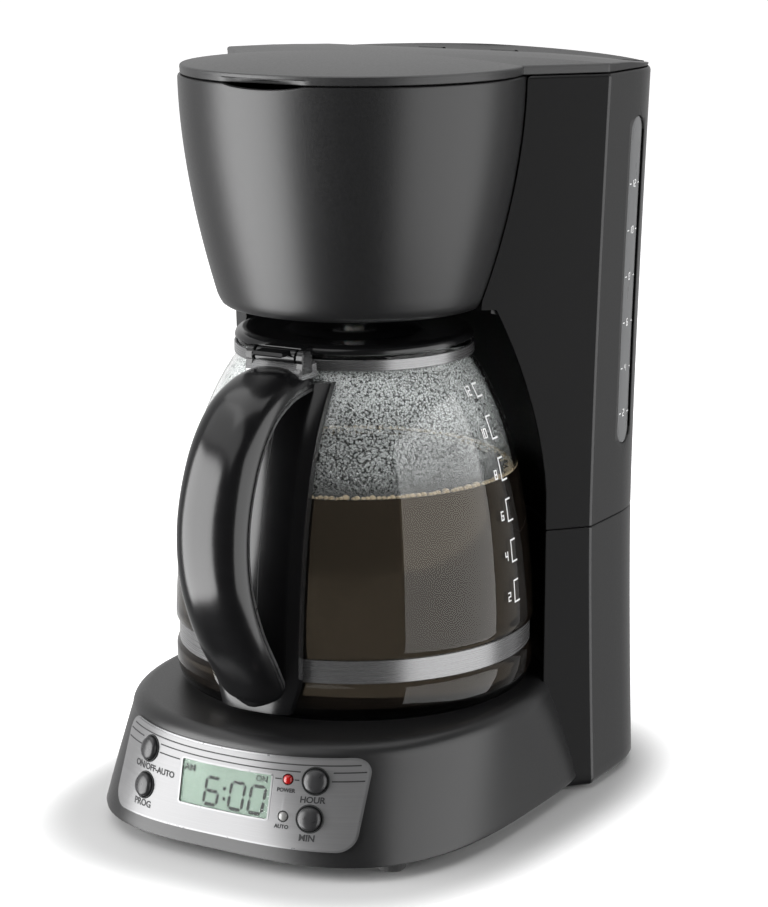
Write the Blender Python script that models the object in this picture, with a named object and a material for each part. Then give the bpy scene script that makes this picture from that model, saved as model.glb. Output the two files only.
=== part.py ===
"""Drip coffee maker with a glass carafe, modelled as an assembly of separate pieces.

Units are metres, +Z is up and the front faces -Y. The origin is the middle of the footprint,
on the surface that the feet stand on. Shapes are written in millimetres round the brewing
axis, the vertical line through the basket, the carafe and the warming plate.
"""

import math

import bmesh
import bpy
from mathutils import Matrix, Vector

MM = 0.001

# ---------------------------------------------------------------- driving dimensions, in mm
BREW_AXIS_Y = -1.6          # the brewing axis, behind (+) or ahead (-) of the footprint's middle
GAP = 0.3                   # clearance between neighbouring pieces
SEAT_GAP = 0.6              # clearance of the basket housing in the tower
WALL = 2.4                  # moulded wall

FOOT_HEIGHT = 5.5
DECK_Z = 52.3               # top of the base and of the warming plate
TOWER_BOTTOM = 1.5
SPLIT_Z = 117.0             # joint line between the lower and the upper tower
HOUSING_BOTTOM = 213.0      # underside of the basket housing
SEAM_Z = 308.0              # rim under the lid
LID_EDGE = 4.2              # height of the lid's edge band
LID_CROWN = 2.6             # rise of the lid's dome above its edge band

HOUSING_R = 72.2            # basket housing at its rim
HOUSING_TAPER = 15.4        # how much smaller the housing is at its foot
PLATE_R = 66.6
HEATER_R = 42.0             # bend of the tubular heater under the plate
HEATER_Z = 42.6
HEATER_END_Y = 56.0
RECESS_R = 81.0             # concave bay that the carafe stands in

CORNER_Y = 47.0             # where a slanted front face meets a side wall
SIDE_END_Y = 68.0           # where a side wall starts to turn round the back
REAR_Y = 121.0
REAR_POWER = 3.0
FACET_ANGLE = math.radians(50.0)
WAIST_X = 88.8              # half width at the joint line
TOP_FLARE = 5.4
FOOT_FLARE = 3.1

GLASS_R = 76.4
GLASS_WALL = 2.2
NECK_R = 48.8
NECK_Z = 192.5
MOUTH_Z = 199.0
BAND_Z = (69.6, 79.2)
SHOULDER_Z = 79.8

HINGE_Y = 98.0              # lid hinge
HINGE_Z = 308.6
RISER_Y = 91.0
GLAND_X = -55.0
GLAND_Z = 24.0
INLET_X = 45.0
INLET_Y = 96.0
CARAFE_HINGE_Y = -59.0
CARAFE_HINGE_Z = 199.6

FOOT_SPOTS = {"front_left": (-62.0, -76.0), "front_right": (62.0, -76.0),
              "rear_left": (-66.0, 98.0), "rear_right": (66.0, 98.0)}
SCREW_SHARE = 0.72          # the screws stand this share of a foot's distance from the middle

PANEL_HALF = 57.5
PANEL_Z = (12.7, 46.4)
BUTTON_X = 39.0
BUTTON_HIGH_Z = 38.4
BUTTON_LOW_Z = 24.2
LED_X = 28.5
LCD_X = (-19.5, 21.5)
LCD_Z = (22.3, 39.4)

ARC_STEPS = 16
REAR_STEPS = 12
ROUND = 32
CARAFE_STEPS = 28

# ---------------------------------------------------------------- colours
CHARCOAL = ("charcoal_plastic", (0.035, 0.035, 0.037), 0.42, 0.0)
GLOSS_BLACK = ("gloss_black_plastic", (0.012, 0.012, 0.013), 0.12, 0.0)
STEEL = ("brushed_steel", (0.62, 0.62, 0.63), 0.28, 1.0)
GLASS = ("clear_glass", (0.85, 0.88, 0.88), 0.04, 0.0)
PLATE_BLACK = ("coated_plate", (0.02, 0.02, 0.02), 0.35, 0.6)
ALUMINIUM = ("cast_aluminium", (0.6, 0.6, 0.6), 0.5, 1.0)
RUBBER = ("black_rubber", (0.03, 0.03, 0.03), 0.8, 0.0)
SILICONE = ("clear_silicone", (0.78, 0.76, 0.72), 0.5, 0.0)
TANK = ("tank_plastic", (0.3, 0.31, 0.32), 0.35, 0.0)
WINDOW = ("window_plastic", (0.42, 0.43, 0.44), 0.25, 0.0)
BOARD = ("circuit_board", (0.05, 0.2, 0.09), 0.5, 0.0)
LCD_GREEN = ("lcd_green", (0.45, 0.56, 0.46), 0.3, 0.0)
LED_RED = ("red_led", (0.75, 0.02, 0.02), 0.2, 0.0)
LED_CLEAR = ("clear_led", (0.7, 0.7, 0.68), 0.15, 0.0)


# ---------------------------------------------------------------- scene helpers
def clear_scene():
    for obj in list(bpy.data.objects):
        bpy.data.objects.remove(obj, do_unlink=True)


def get_material(look):
    name, colour, roughness, metallic = look
    found = bpy.data.materials.get(name)
    if found:
        return found
    made = bpy.data.materials.new(name)
    made.use_nodes = True
    shader = made.node_tree.nodes["Principled BSDF"]
    shader.inputs["Base Color"].default_value = (*colour, 1.0)
    shader.inputs["Roughness"].default_value = roughness
    shader.inputs["Metallic"].default_value = metallic
    return made


def empty(name, point, parent=None):
    """An axis marker at a point given in mm round the brewing axis."""
    marker = bpy.data.objects.new(name, None)
    marker.empty_display_size = 0.02
    bpy.context.scene.collection.objects.link(marker)
    marker.parent = parent
    place = Vector(point) * MM
    marker["place"] = place
    marker.location = place - (Vector(parent["place"]) if parent else Vector())
    return marker


def mesh_object(name, verts, faces, look, pivot):
    """An object from points in mm round the brewing axis, hung on a pivot empty."""
    place = Vector(pivot["place"])
    mesh = bpy.data.meshes.new(name)
    mesh.from_pydata([Vector(v) * MM - place for v in verts], [], faces)
    bm = bmesh.new()
    bm.from_mesh(mesh)
    bmesh.ops.remove_doubles(bm, verts=bm.verts, dist=0.000001)
    bmesh.ops.dissolve_degenerate(bm, edges=bm.edges, dist=0.000001)
    bmesh.ops.recalc_face_normals(bm, faces=bm.faces)
    bm.to_mesh(mesh)
    bm.free()
    mesh.shade_smooth()
    mesh.set_sharp_from_angle(angle=math.radians(35.0))
    obj = bpy.data.objects.new(name, mesh)
    bpy.context.scene.collection.objects.link(obj)
    obj.parent = pivot
    mesh.materials.append(get_material(look))
    return obj


def skin(name, rings, look, pivot, loop=False):
    """Join equal rings of points into one closed body: capped at both ends, or looped round."""
    count = len(rings[0])
    verts = [point for ring in rings for point in ring]
    faces = []
    spans = len(rings) if loop else len(rings) - 1
    for k in range(spans):
        low = k * count
        high = ((k + 1) % len(rings)) * count
        for i in range(count):
            j = (i + 1) % count
            faces.append((low + i, low + j, high + j, high + i))
    if not loop:
        faces.append(tuple(range(count - 1, -1, -1)))
        faces.append(tuple(range((len(rings) - 1) * count, len(rings) * count)))
    return mesh_object(name, verts, faces, look, pivot)


def boolean(obj, tools, operation="DIFFERENCE"):
    for tool in tools:
        tool.hide_render = True
        tool.display_type = "WIRE"
        change = obj.modifiers.new(operation.lower() + "_" + tool.name, "BOOLEAN")
        change.operation = operation
        change.object = tool
        change.solver = "EXACT"


def block(name, low, high, look, pivot):
    x0, y0, z0 = low
    x1, y1, z1 = high
    rings = [[(x0, y0, z), (x1, y0, z), (x1, y1, z), (x0, y1, z)] for z in (z0, z1)]
    return skin(name, rings, look, pivot)


def circle(radius, z, centre=(0.0, 0.0), steps=ROUND):
    points = []
    for k in range(steps):
        angle = 2.0 * math.pi * k / steps
        points.append((centre[0] + radius * math.cos(angle), centre[1] + radius * math.sin(angle), z))
    return points


def lathe(name, profile, look, pivot, centre=(0.0, 0.0), steps=ROUND, loop=False):
    """Turn a profile of (radius, z) points about a vertical axis."""
    rings = [circle(radius, z, centre, steps) for radius, z in profile]
    return skin(name, rings, look, pivot, loop)


def aim(point, direction):
    """The frame that stands on a point with its Z along a direction."""
    turn = Vector((0.0, 0.0, 1.0)).rotation_difference(Vector(direction).normalized())
    return Matrix.Translation(Vector(point)) @ turn.to_matrix().to_4x4()


def spindle(name, profile, point, direction, look, pivot, steps=16, loop=False):
    """Turn a profile of (radius, height) points about any axis."""
    frame = aim(point, direction)
    rings = [[tuple(frame @ Vector(p)) for p in circle(radius, h, steps=steps)] for radius, h in profile]
    return skin(name, rings, look, pivot, loop)


def through_points(points, steps):
    """A smooth curve through points, read at even parameter steps (Catmull-Rom)."""
    spots = [Vector(p) for p in points]
    spots = [2 * spots[0] - spots[1]] + spots + [2 * spots[-1] - spots[-2]]
    path = []
    for k in range(1, len(spots) - 2):
        a, b, c, d = spots[k - 1:k + 3]
        for i in range(steps):
            t = i / steps
            path.append(0.5 * (2 * b + (c - a) * t + (2 * a - 5 * b + 4 * c - d) * t * t
                               + (3 * b - a - 3 * c + d) * t ** 3))
    path.append(spots[-2])
    return path


def tube(name, points, radius, look, pivot, sides=8, steps=3):
    """A round tube along a smooth path."""
    path = through_points(points, steps)
    rings = []
    normal = None
    for k, spot in enumerate(path):
        ahead = path[min(k + 1, len(path) - 1)] - path[max(k - 1, 0)]
        if k in (0, len(path) - 1):
            pair = points[:2] if k == 0 else points[-2:]
            ahead = Vector(pair[1]) - Vector(pair[0])
        ahead.normalize()
        if normal is None:
            normal = ahead.orthogonal().normalized()
        normal = (normal - ahead * normal.dot(ahead)).normalized()
        across = ahead.cross(normal)
        ring = []
        for i in range(sides):
            angle = 2.0 * math.pi * i / sides
            ring.append(tuple(spot + normal * radius * math.cos(angle) + across * radius * math.sin(angle)))
        rings.append(ring)
    return skin(name, rings, look, pivot)


def slot_outline(half_width, low, high, steps=8):
    """A slot with round ends, as (across, height) points."""
    points = []
    for middle, start in ((high - half_width, 0.0), (low + half_width, math.pi)):
        for k in range(steps + 1):
            angle = start + math.pi * k / steps
            points.append((half_width * math.cos(angle), middle + half_width * math.sin(angle)))
    return points


def rounded_rectangle(x0, x1, z0, z1, radius, steps=5):
    points = []
    corners = ((x1 - radius, z1 - radius, 0), (x0 + radius, z1 - radius, 1),
               (x0 + radius, z0 + radius, 2), (x1 - radius, z0 + radius, 3))
    for cx, cz, quarter in corners:
        for k in range(steps + 1):
            angle = (quarter + k / steps) * math.pi / 2
            points.append((cx + radius * math.cos(angle), cz + radius * math.sin(angle)))
    return points


# ---------------------------------------------------------------- outlines of the object
def housing_radius(z):
    """The basket housing narrows downwards ever faster."""
    return HOUSING_R - HOUSING_TAPER * (max(SEAM_Z - z, 0.0) / 91.0) ** 1.75


def recess_radius(z):
    """The bay behind the carafe: straight low down, closing in under the housing."""
    return RECESS_R - 20.0 * (max(z - 130.0, 0.0) / 85.0) ** 1.7


def front_radius(z):
    """The tower's concave front: the bay below the basket housing, the housing's seat above."""
    return recess_radius(z) if z < HOUSING_BOTTOM else housing_radius(max(z, HOUSING_BOTTOM + 3.0)) + SEAT_GAP


def corner_x(z):
    if z > SPLIT_Z:
        return WAIST_X + TOP_FLARE * ((z - SPLIT_Z) / (SEAM_Z - SPLIT_Z)) ** 1.5
    return WAIST_X + FOOT_FLARE * ((SPLIT_Z - z) / (SPLIT_Z - TOWER_BOTTOM)) ** 1.5


def facet_end(z, inset, radius):
    """The corner of a slanted face and the point where that face meets a circle of a radius."""
    corner = Vector((corner_x(z) - inset, CORNER_Y + inset * math.tan(math.radians(20.0))))
    along = Vector((-math.cos(FACET_ANGLE), -math.sin(FACET_ANGLE)))
    half = corner.dot(along)
    reach = -half - math.sqrt(half * half - corner.length_squared + radius * radius)
    return corner, corner + along * reach


def rear_curve(z, inset):
    """Right side wall round the back to the left side wall."""
    wide = corner_x(z) - inset
    deep = REAR_Y - SIDE_END_Y - inset
    points = []
    for k in range(REAR_STEPS + 1):
        angle = math.pi * k / REAR_STEPS
        c = math.cos(angle)
        s = math.sin(angle)
        x = wide * math.copysign(abs(c) ** (2.0 / REAR_POWER), c)
        points.append((x, SIDE_END_Y + deep * abs(s) ** (2.0 / REAR_POWER)))
    return points


def tower_ring(z, inset, height=None, radius=None):
    """The tower's plan at a height: slanted faces, sides, back and concave front."""
    rho = (front_radius(z) if radius is None else radius) + inset
    corner, tip = facet_end(z, inset, rho)
    middle = (corner + tip) / 2
    right = [(tip.x, tip.y), (middle.x, middle.y), (corner.x, corner.y)]
    left = [(-x, y) for x, y in reversed(right)]
    start = math.atan2(tip.y, tip.x)
    arc = []
    for k in range(1, ARC_STEPS):
        angle = (math.pi - start) - (math.pi - 2 * start) * k / ARC_STEPS
        arc.append((rho * math.cos(angle), rho * math.sin(angle)))
    level = z if height is None else height
    return [(x, y, level) for x, y in right + rear_curve(z, inset) + left + arc]


def levels(low, high, steps):
    return [low + (high - low) * k / steps for k in range(steps + 1)]


def skirt(z):
    """Half width, depth to the front, power and middle of the base's plan at a height."""
    fall = (DECK_Z - z) / (DECK_Z - FOOT_HEIGHT)
    return 83.0 + 5.6 * fall, 86.6 + 30.2 * fall, 2.13 + 1.1 * fall, -12.4 + 21.2 * fall


def skirt_ring(z, inset, height=None, steps=40):
    wide, deep, power, middle = skirt(z)
    points = []
    for k in range(steps):
        angle = 2.0 * math.pi * (k + 0.5) / steps
        c = math.cos(angle)
        s = math.sin(angle)
        back = deep if s < 0 else min(deep, 84.0 - middle)
        x = (wide - inset) * math.copysign(abs(c) ** (2.0 / power), c)
        y = middle + (back - inset) * math.copysign(abs(s) ** (2.0 / power), s)
        points.append((x, y, z if height is None else height))
    return points


def skirt_point(x, z):
    wide, deep, power, middle = skirt(z)
    return Vector((x, middle - deep * (1.0 - abs(x / wide) ** power) ** (1.0 / power), z))


def skirt_normal(x, z):
    step = 0.5
    across = skirt_point(x + step, z) - skirt_point(x - step, z)
    rise = skirt_point(x, z + step) - skirt_point(x, z - step)
    return across.cross(rise).normalized()


def skirt_hole(x, z, radius, steps=16):
    """A round hole square to the front of the base, as (x, z) points."""
    centre = skirt_point(x, z)
    normal = skirt_normal(x, z)
    across = Vector((1.0, 0.0, 0.0))
    across = (across - normal * across.dot(normal)).normalized()
    rise = normal.cross(across)
    points = []
    for k in range(steps):
        angle = 2.0 * math.pi * (k + 0.5) / steps
        point = centre + (across * math.cos(angle) + rise * math.sin(angle)) * radius
        points.append((point.x, point.z))
    return points


def skirt_sheet(name, loops, depths, look, pivot, strip=9.0):
    """A sheet that follows the front of the base between two depths outside it.

    The first loop of (x, z) points is its outline and the others are holes.
    """
    bm = bmesh.new()
    for loop in loops:
        spots = [bm.verts.new((x, 0.0, z)) for x, z in loop]
        for a, b in zip(spots, spots[1:] + spots[:1]):
            bm.edges.new((a, b))
    bmesh.ops.triangle_fill(bm, use_beauty=True, use_dissolve=False, edges=bm.edges[:])
    reach = max(abs(x) for x, z in loops[0])
    cuts = int(reach / strip)
    for k in range(-cuts, cuts + 1):
        everything = bm.verts[:] + bm.edges[:] + bm.faces[:]
        bmesh.ops.bisect_plane(bm, geom=everything, dist=0.001, plane_co=(k * strip + 0.37, 0.0, 0.0),
                               plane_no=(1.0, 0.0, 0.0))
    bmesh.ops.triangulate(bm, faces=bm.faces[:])
    bm.verts.index_update()
    flat = [(v.co.x, v.co.z) for v in bm.verts]
    count = len(flat)
    verts = []
    for depth in depths:
        verts += [tuple(skirt_point(x, z) + skirt_normal(x, z) * depth) for x, z in flat]
    faces = []
    for face in bm.faces:
        corners = [v.index for v in face.verts]
        faces.append(tuple(corners))
        faces.append(tuple(count + i for i in reversed(corners)))
    for edge in bm.edges:
        if len(edge.link_faces) == 1:
            a, b = (v.index for v in edge.verts)
            faces.append((a, b, count + b, count + a))
    bm.free()
    return mesh_object(name, verts, faces, look, pivot)


def glass_radius(z):
    """The carafe's shoulder draws in slowly, then quickly up to the neck."""
    t = (z - SHOULDER_Z) / (NECK_Z - SHOULDER_Z)
    return GLASS_R - (GLASS_R - NECK_R) * (0.5 * t ** 1.5 + 0.5 * t ** 4.5)


# ---------------------------------------------------------------- base
def tower_cutter(name, pivot):
    """The tower's outer form with clearance, for cutting its neighbours."""
    rings = [tower_ring(z, -GAP) for z in levels(-2.0, 60.0, 5)]
    return skin(name, rings, CHARCOAL, pivot)


def make_base(root):
    fillet = 6.0
    outer = [skirt_ring(z, 0.0) for z in levels(FOOT_HEIGHT, DECK_Z - fillet, 4)]
    for k in range(1, 5):
        angle = math.pi / 2 * k / 4
        outer.append(skirt_ring(DECK_Z - fillet, fillet * (1 - math.cos(angle)),
                                DECK_Z - fillet + fillet * math.sin(angle)))
    hole = [circle(PLATE_R + GAP, z, steps=40) for z in (DECK_Z, DECK_Z - WALL)]
    inner = [skirt_ring(DECK_Z - fillet, fillet, DECK_Z - WALL)]
    inner += [skirt_ring(z, WALL) for z in (DECK_Z - fillet, 30.0, FOOT_HEIGHT)]
    base = skin("base_housing", outer + hole + inner, CHARCOAL, root, loop=True)
    window = block("cut_panel_window", (-47.5, -125.0, 16.2), (47.5, -70.0, 44.9), CHARCOAL, root)
    passage = block("cut_base_passage", (-44.0, 60.0, -5.0), (44.0, 92.0, 46.5), CHARCOAL, root)
    boolean(base, [tower_cutter("cut_tower_from_base", root), window, passage])


def make_plate(root):
    rim = PLATE_R
    lathe("warming_plate", [(0.6, DECK_Z - 0.4), (rim - 12.0, DECK_Z - 0.4), (rim - 10.0, DECK_Z - 0.05),
                            (rim - 1.0, DECK_Z - 0.05), (rim, DECK_Z - 1.0), (rim, DECK_Z - 3.4),
                            (rim - 1.2, DECK_Z - 3.4), (rim - 1.2, DECK_Z - 1.6), (0.6, DECK_Z - 1.6)],
          PLATE_BLACK, root)
    lathe("plate_seal", [(67.2, 49.5), (71.0, 49.5), (71.0, 48.2), (67.2, 48.2)], RUBBER, root, loop=True)
    lathe("heat_spreader", [(54.0, 50.4), (54.0, 48.4), (0.6, 48.4), (0.6, 50.4)], ALUMINIUM, root)
    path = []
    bends = 16
    for k in range(bends + 1):
        angle = math.radians(-240.0 + 300.0 * k / bends)
        path.append((HEATER_R * math.cos(angle), HEATER_R * math.sin(angle), HEATER_Z))
    ends = [(x, HEATER_END_Y, HEATER_Z) for x in (path[0][0], path[-1][0])]
    tube("heating_element", [ends[0]] + path + [ends[1]], 5.2, ALUMINIUM, root, sides=8, steps=1)
    block("heater_bracket", (-50.0, -6.0, 34.6), (50.0, 6.0, 37.0), STEEL, root)
    lathe("thermostat", [(9.0, 47.9), (9.0, 41.0), (6.0, 40.0), (6.0, 38.0)], ALUMINIUM, root,
          centre=(0.0, 20.0), steps=20)
    spindle("thermal_fuse", [(2.0, 0.0), (2.0, 16.0)], (-8.0, -22.0, 45.6), (1, 0, 0), STEEL, root, steps=12)


def make_cover(root):
    """Underside plate over the whole footprint, with ventilation slots."""
    low = FOOT_HEIGHT + 1.0
    high = low + 2.0
    inset = WALL + GAP + 0.4
    cover = skin("base_cover", [skirt_ring(8.0, inset, z) for z in (low, high)], CHARCOAL, root)
    rear = [tower_ring(6.0, inset, z, radius=58.0) for z in (low - 0.01, high + 0.01)]
    tail = skin("join_cover_tail", rear, CHARCOAL, root)
    boolean(cover, [tail], "UNION")
    slots = []
    for k in range(6):
        y = -36.0 + 10.0 * k
        slots.append(block("cut_vent_%d" % k, (-22.0, y, low - 2.0), (22.0, y + 4.0, high + 2.0),
                           CHARCOAL, root))
    for name, (x, y) in FOOT_SPOTS.items():
        slots.append(lathe("cut_screw_" + name, [(1.7, low - 2.0), (1.7, high + 2.0)], CHARCOAL, root,
                           centre=(x * SCREW_SHARE, y), steps=12))
    boolean(cover, slots)


def make_feet(root):
    for name, (x, y) in FOOT_SPOTS.items():
        profile = [(5.0, 0.0), (6.0, 0.8), (6.4, FOOT_HEIGHT + 0.7)]
        lathe("foot_" + name, profile, RUBBER, root, centre=(x, y), steps=20)
        screw = [(3.2, FOOT_HEIGHT - 1.0), (3.2, FOOT_HEIGHT + 0.6), (1.4, FOOT_HEIGHT + 0.6), (1.4, 14.0)]
        lathe("base_screw_" + name, screw, STEEL, root, centre=(x * SCREW_SHARE, y), steps=12)


# ---------------------------------------------------------------- control panel
def rectangle(x_span, z_span, spare=0.0):
    x0, x1 = x_span[0] - spare, x_span[1] + spare
    z0, z1 = z_span[0] - spare, z_span[1] + spare
    return [(x0, z0), (x1, z0), (x1, z1), (x0, z1)]


def make_panel(root):
    loops = [rounded_rectangle(-PANEL_HALF, PANEL_HALF, PANEL_Z[0], PANEL_Z[1], 6.0),
             rectangle(LCD_X, LCD_Z)]
    for z in (BUTTON_HIGH_Z, BUTTON_LOW_Z):
        loops += [skirt_hole(-BUTTON_X, z, 5.7), skirt_hole(BUTTON_X, z, 5.7), skirt_hole(LED_X, z, 2.3, 10)]
    skirt_sheet("control_panel", loops, (0.45, 1.6), STEEL, root)
    skirt_sheet("lcd_window", [rectangle(LCD_X, LCD_Z, -0.35)], (0.2, 1.1), GLASS, root)
    skirt_sheet("lcd_module", [rectangle(LCD_X, LCD_Z, 2.0)], (-4.2, -0.6), LCD_GREEN, root)
    block("control_board", (-46.0, -84.4, 16.5), (46.0, -82.8, 44.0), BOARD, root)


def make_leds(root):
    for name, z, look in (("power_led", BUTTON_HIGH_Z, LED_RED), ("auto_led", BUTTON_LOW_Z, LED_CLEAR)):
        dome = [(1.9, -6.0), (1.9, 1.2), (1.6, 2.0), (0.9, 2.5), (0.2, 2.65)]
        spindle(name, dome, skirt_point(LED_X, z), skirt_normal(LED_X, z), look, root, steps=16)


def make_buttons(root):
    spots = {"button_power": (-BUTTON_X, BUTTON_HIGH_Z), "button_program": (-BUTTON_X, BUTTON_LOW_Z),
             "button_hour": (BUTTON_X, BUTTON_HIGH_Z), "button_minute": (BUTTON_X, BUTTON_LOW_Z)}
    for name, (x, z) in spots.items():
        centre = skirt_point(x, z)
        pivot = empty(name + "_axis", centre, root)
        cap = [(2.4, -7.0), (2.4, -3.0), (5.2, -3.0), (5.2, 2.6), (4.7, 3.4), (3.4, 4.0), (1.6, 4.3),
               (0.3, 4.35)]
        spindle(name, cap, centre, skirt_normal(x, z), GLOSS_BLACK, pivot)


# ---------------------------------------------------------------- tower
def make_tower(root):
    top = SPLIT_Z - GAP
    lip = WALL + GAP + 0.2
    inner = [tower_ring(z, WALL) for z in levels(top - 1.6, TOWER_BOTTOM, 3)]
    outer = [tower_ring(z, 0.0) for z in levels(TOWER_BOTTOM, top, 4)]
    lid = [tower_ring(top, lip), tower_ring(top, lip, top + 1.8)]
    tower = skin("tower_housing", inner + outer + lid, CHARCOAL, root)
    cuts = [block("cut_hose_passage", (-44.0, 60.0, 5.0), (44.0, 92.0, 46.5), CHARCOAL, root)]
    room = [skirt_ring(8.0, WALL, z) for z in (-5.0, FOOT_HEIGHT + 4.0)]
    cuts.append(skin("cut_cover_room", room, CHARCOAL, root))
    arc = [(RECESS_R + 4.0, -6.0), (RECESS_R + 4.0, FOOT_HEIGHT + 4.2)]
    cuts.append(lathe("cut_cover_arc", arc, CHARCOAL, root))
    for name, x, y in (("riser", 0.0, RISER_Y), ("inlet", INLET_X, INLET_Y)):
        cuts.append(lathe("cut_tower_" + name, [(7.6, top - 8.0), (7.6, top + 8.0)], CHARCOAL, root,
                          centre=(x, y), steps=20))
    spot, out = rear_spot(GLAND_X, GLAND_Z)
    cuts.append(spindle("cut_cord_hole", [(5.4, -9.0), (5.4, 9.0)], spot, out, CHARCOAL, root))
    boolean(tower, cuts)
    gland = [(3.4, -7.0), (5.0, -7.0), (5.0, 0.5), (6.5, 0.5), (6.5, 1.4), (4.4, 1.8), (3.4, 1.8)]
    spindle("cord_gland", gland, spot, out, RUBBER, root, loop=True)


def rear_spot(x, z):
    """A point on the back of the tower and the way that it faces."""
    wide = corner_x(z)
    deep = REAR_Y - SIDE_END_Y
    rise = deep * (1.0 - (abs(x) / wide) ** REAR_POWER) ** (1.0 / REAR_POWER)
    out = Vector((math.copysign(abs(x) ** (REAR_POWER - 1) / wide ** REAR_POWER, x),
                  rise ** (REAR_POWER - 1) / deep ** REAR_POWER, 0.0))
    return Vector((x, SIDE_END_Y + rise, z)), out.normalized()


def make_reservoir(root):
    low = SPLIT_Z
    below = levels(low, HOUSING_BOTTOM - 0.1, 5)
    above = [HOUSING_BOTTOM + 0.1] + levels(HOUSING_BOTTOM + 5.0, SEAM_Z, 5)
    lid_top = SEAM_Z + LID_EDGE
    outer = [tower_ring(z, 0.0) for z in below + above] + [tower_ring(SEAM_Z, 0.0, lid_top)]
    inner = [tower_ring(SEAM_Z, WALL, lid_top - 2.6)]
    inner += [tower_ring(z, WALL) for z in reversed(above)]
    inner += [tower_ring(HOUSING_BOTTOM + 0.1, WALL, HOUSING_BOTTOM - 2.0 + 0.1)]
    inner += [tower_ring(z, WALL) for z in reversed(below[:-1])]
    shell = skin("reservoir_housing", inner + outer, CHARCOAL, root)
    opening = block("cut_lid_opening", (-120.0, -120.0, SEAM_Z), (120.0, HINGE_Y + 6.0, SEAM_Z + 20.0),
                    CHARCOAL, root)
    notch = block("cut_outlet_notch", (-8.0, 60.0, 290.0), (8.0, 80.0, SEAM_Z + 5.0), CHARCOAL, root)
    slot = window_prism("cut_window", 6.8, 147.5, 288.5, root)
    boolean(shell, [opening, notch, slot])

    tank_gap = WALL + GAP + 0.1
    tank_wall = tank_gap + 1.8
    floor = SPLIT_Z + 2.4
    rim = 296.0
    rise = levels(floor, HOUSING_BOTTOM - 6.0, 4) + levels(HOUSING_BOTTOM + 4.0, rim, 3)
    outside = [tower_ring(z, tank_gap, radius=front_radius(z)) for z in rise]
    inside = [tower_ring(z, tank_wall, radius=front_radius(z)) for z in reversed(rise[1:])]
    inside.append(tower_ring(floor, tank_wall, floor + 2.0))
    tank = skin("water_tank", outside + inside, TANK, root)
    chimney = lathe("join_chimney", [(7.0, floor), (7.0, 288.0)], TANK, root, centre=(0.0, RISER_Y), steps=20)
    boolean(tank, [chimney], "UNION")
    bore = lathe("cut_chimney", [(5.2, floor - 5.0), (5.2, 300.0)], TANK, root, centre=(0.0, RISER_Y),
                 steps=20)
    drain = lathe("cut_drain", [(3.0, floor - 5.0), (3.0, floor + 8.0)], TANK, root,
                  centre=(INLET_X, INLET_Y), steps=16)
    boolean(tank, [bore, drain])


def window_prism(name, half_width, low, high, pivot):
    """A slot with round ends through the right side wall."""
    outline = slot_outline(half_width, low, high)
    rings = [[(x, 77.0 + across, z) for across, z in outline] for x in (80.0, 104.0)]
    return skin(name, rings, CHARCOAL, pivot)


def make_window(root):
    rise = levels(140.0, 296.0, 6)
    outer = [tower_ring(z, 0.5, radius=RECESS_R - 20.0) for z in rise]
    inner = [tower_ring(z, WALL - 0.2, radius=RECESS_R - 20.0) for z in reversed(rise)]
    window = skin("water_window", outer + inner, WINDOW, root, loop=True)
    boolean(window, [window_prism("keep_window", 6.45, 147.85, 288.15, root)], "INTERSECT")


def make_basket_housing(root):
    foot = HOUSING_BOTTOM
    outer = [(12.0, foot), (52.6, foot), (54.8, foot + 0.8), (56.2, foot + 2.6)]
    outer += [(housing_radius(z), z) for z in levels(foot + 5.0, SEAM_Z, 5)]
    inner = [(housing_radius(z) - WALL, z) for z in levels(SEAM_Z, foot + 5.0, 5)]
    inner += [(53.0, foot + WALL), (12.0, foot + WALL)]
    shell = lathe("basket_housing", outer + inner, CHARCOAL, root, steps=32, loop=True)
    notch = block("cut_housing_notch", (-8.0, 55.0, 290.0), (8.0, 80.0, SEAM_Z + 5.0), CHARCOAL, root)
    boolean(shell, [notch])


def make_water_path(root):
    heater_x = HEATER_R * math.cos(math.radians(60.0))
    behind = HEATER_END_Y + GAP
    cold = [(heater_x, behind, HEATER_Z), (heater_x, behind + 4.0, HEATER_Z), (heater_x - 4.0, 72.0, 38.0),
            (28.0, 90.0, 36.0), (INLET_X, INLET_Y, 60.0), (INLET_X, INLET_Y, 84.0), (INLET_X, INLET_Y, 103.7)]
    tube("cold_water_hose", cold, 5.0, SILICONE, root)
    hot = [(-heater_x, behind, HEATER_Z), (-heater_x, behind + 4.0, HEATER_Z), (-heater_x + 6.0, 72.0, 38.0),
           (-14.0, RISER_Y, 36.0), (0.0, RISER_Y, 62.0), (0.0, RISER_Y, 110.0), (0.0, RISER_Y, 200.0),
           (0.0, RISER_Y, 284.0), (0.0, RISER_Y - 4.0, 297.0), (0.0, RISER_Y - 16.0, 301.5), (0.0, 58.0, 301.5)]
    tube("hot_water_tube", hot, 4.6, SILICONE, root)
    lathe("check_valve", [(3.6, 104.0), (6.6, 104.0), (6.6, 114.0), (2.4, 114.0), (2.4, 119.2)], TANK, root,
          centre=(INLET_X, INLET_Y), steps=20)
    ring = [(5.3, -2.5), (6.6, -2.5), (6.6, 2.5), (5.3, 2.5)]
    spindle("hose_clamp_inlet", ring, (INLET_X, INLET_Y, 90.0), (0, 0, 1), STEEL, root, steps=20, loop=True)
    spindle("hose_clamp_riser", ring, (0.0, RISER_Y, 86.0), (0, 0, 1), STEEL, root, steps=20, loop=True)


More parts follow.
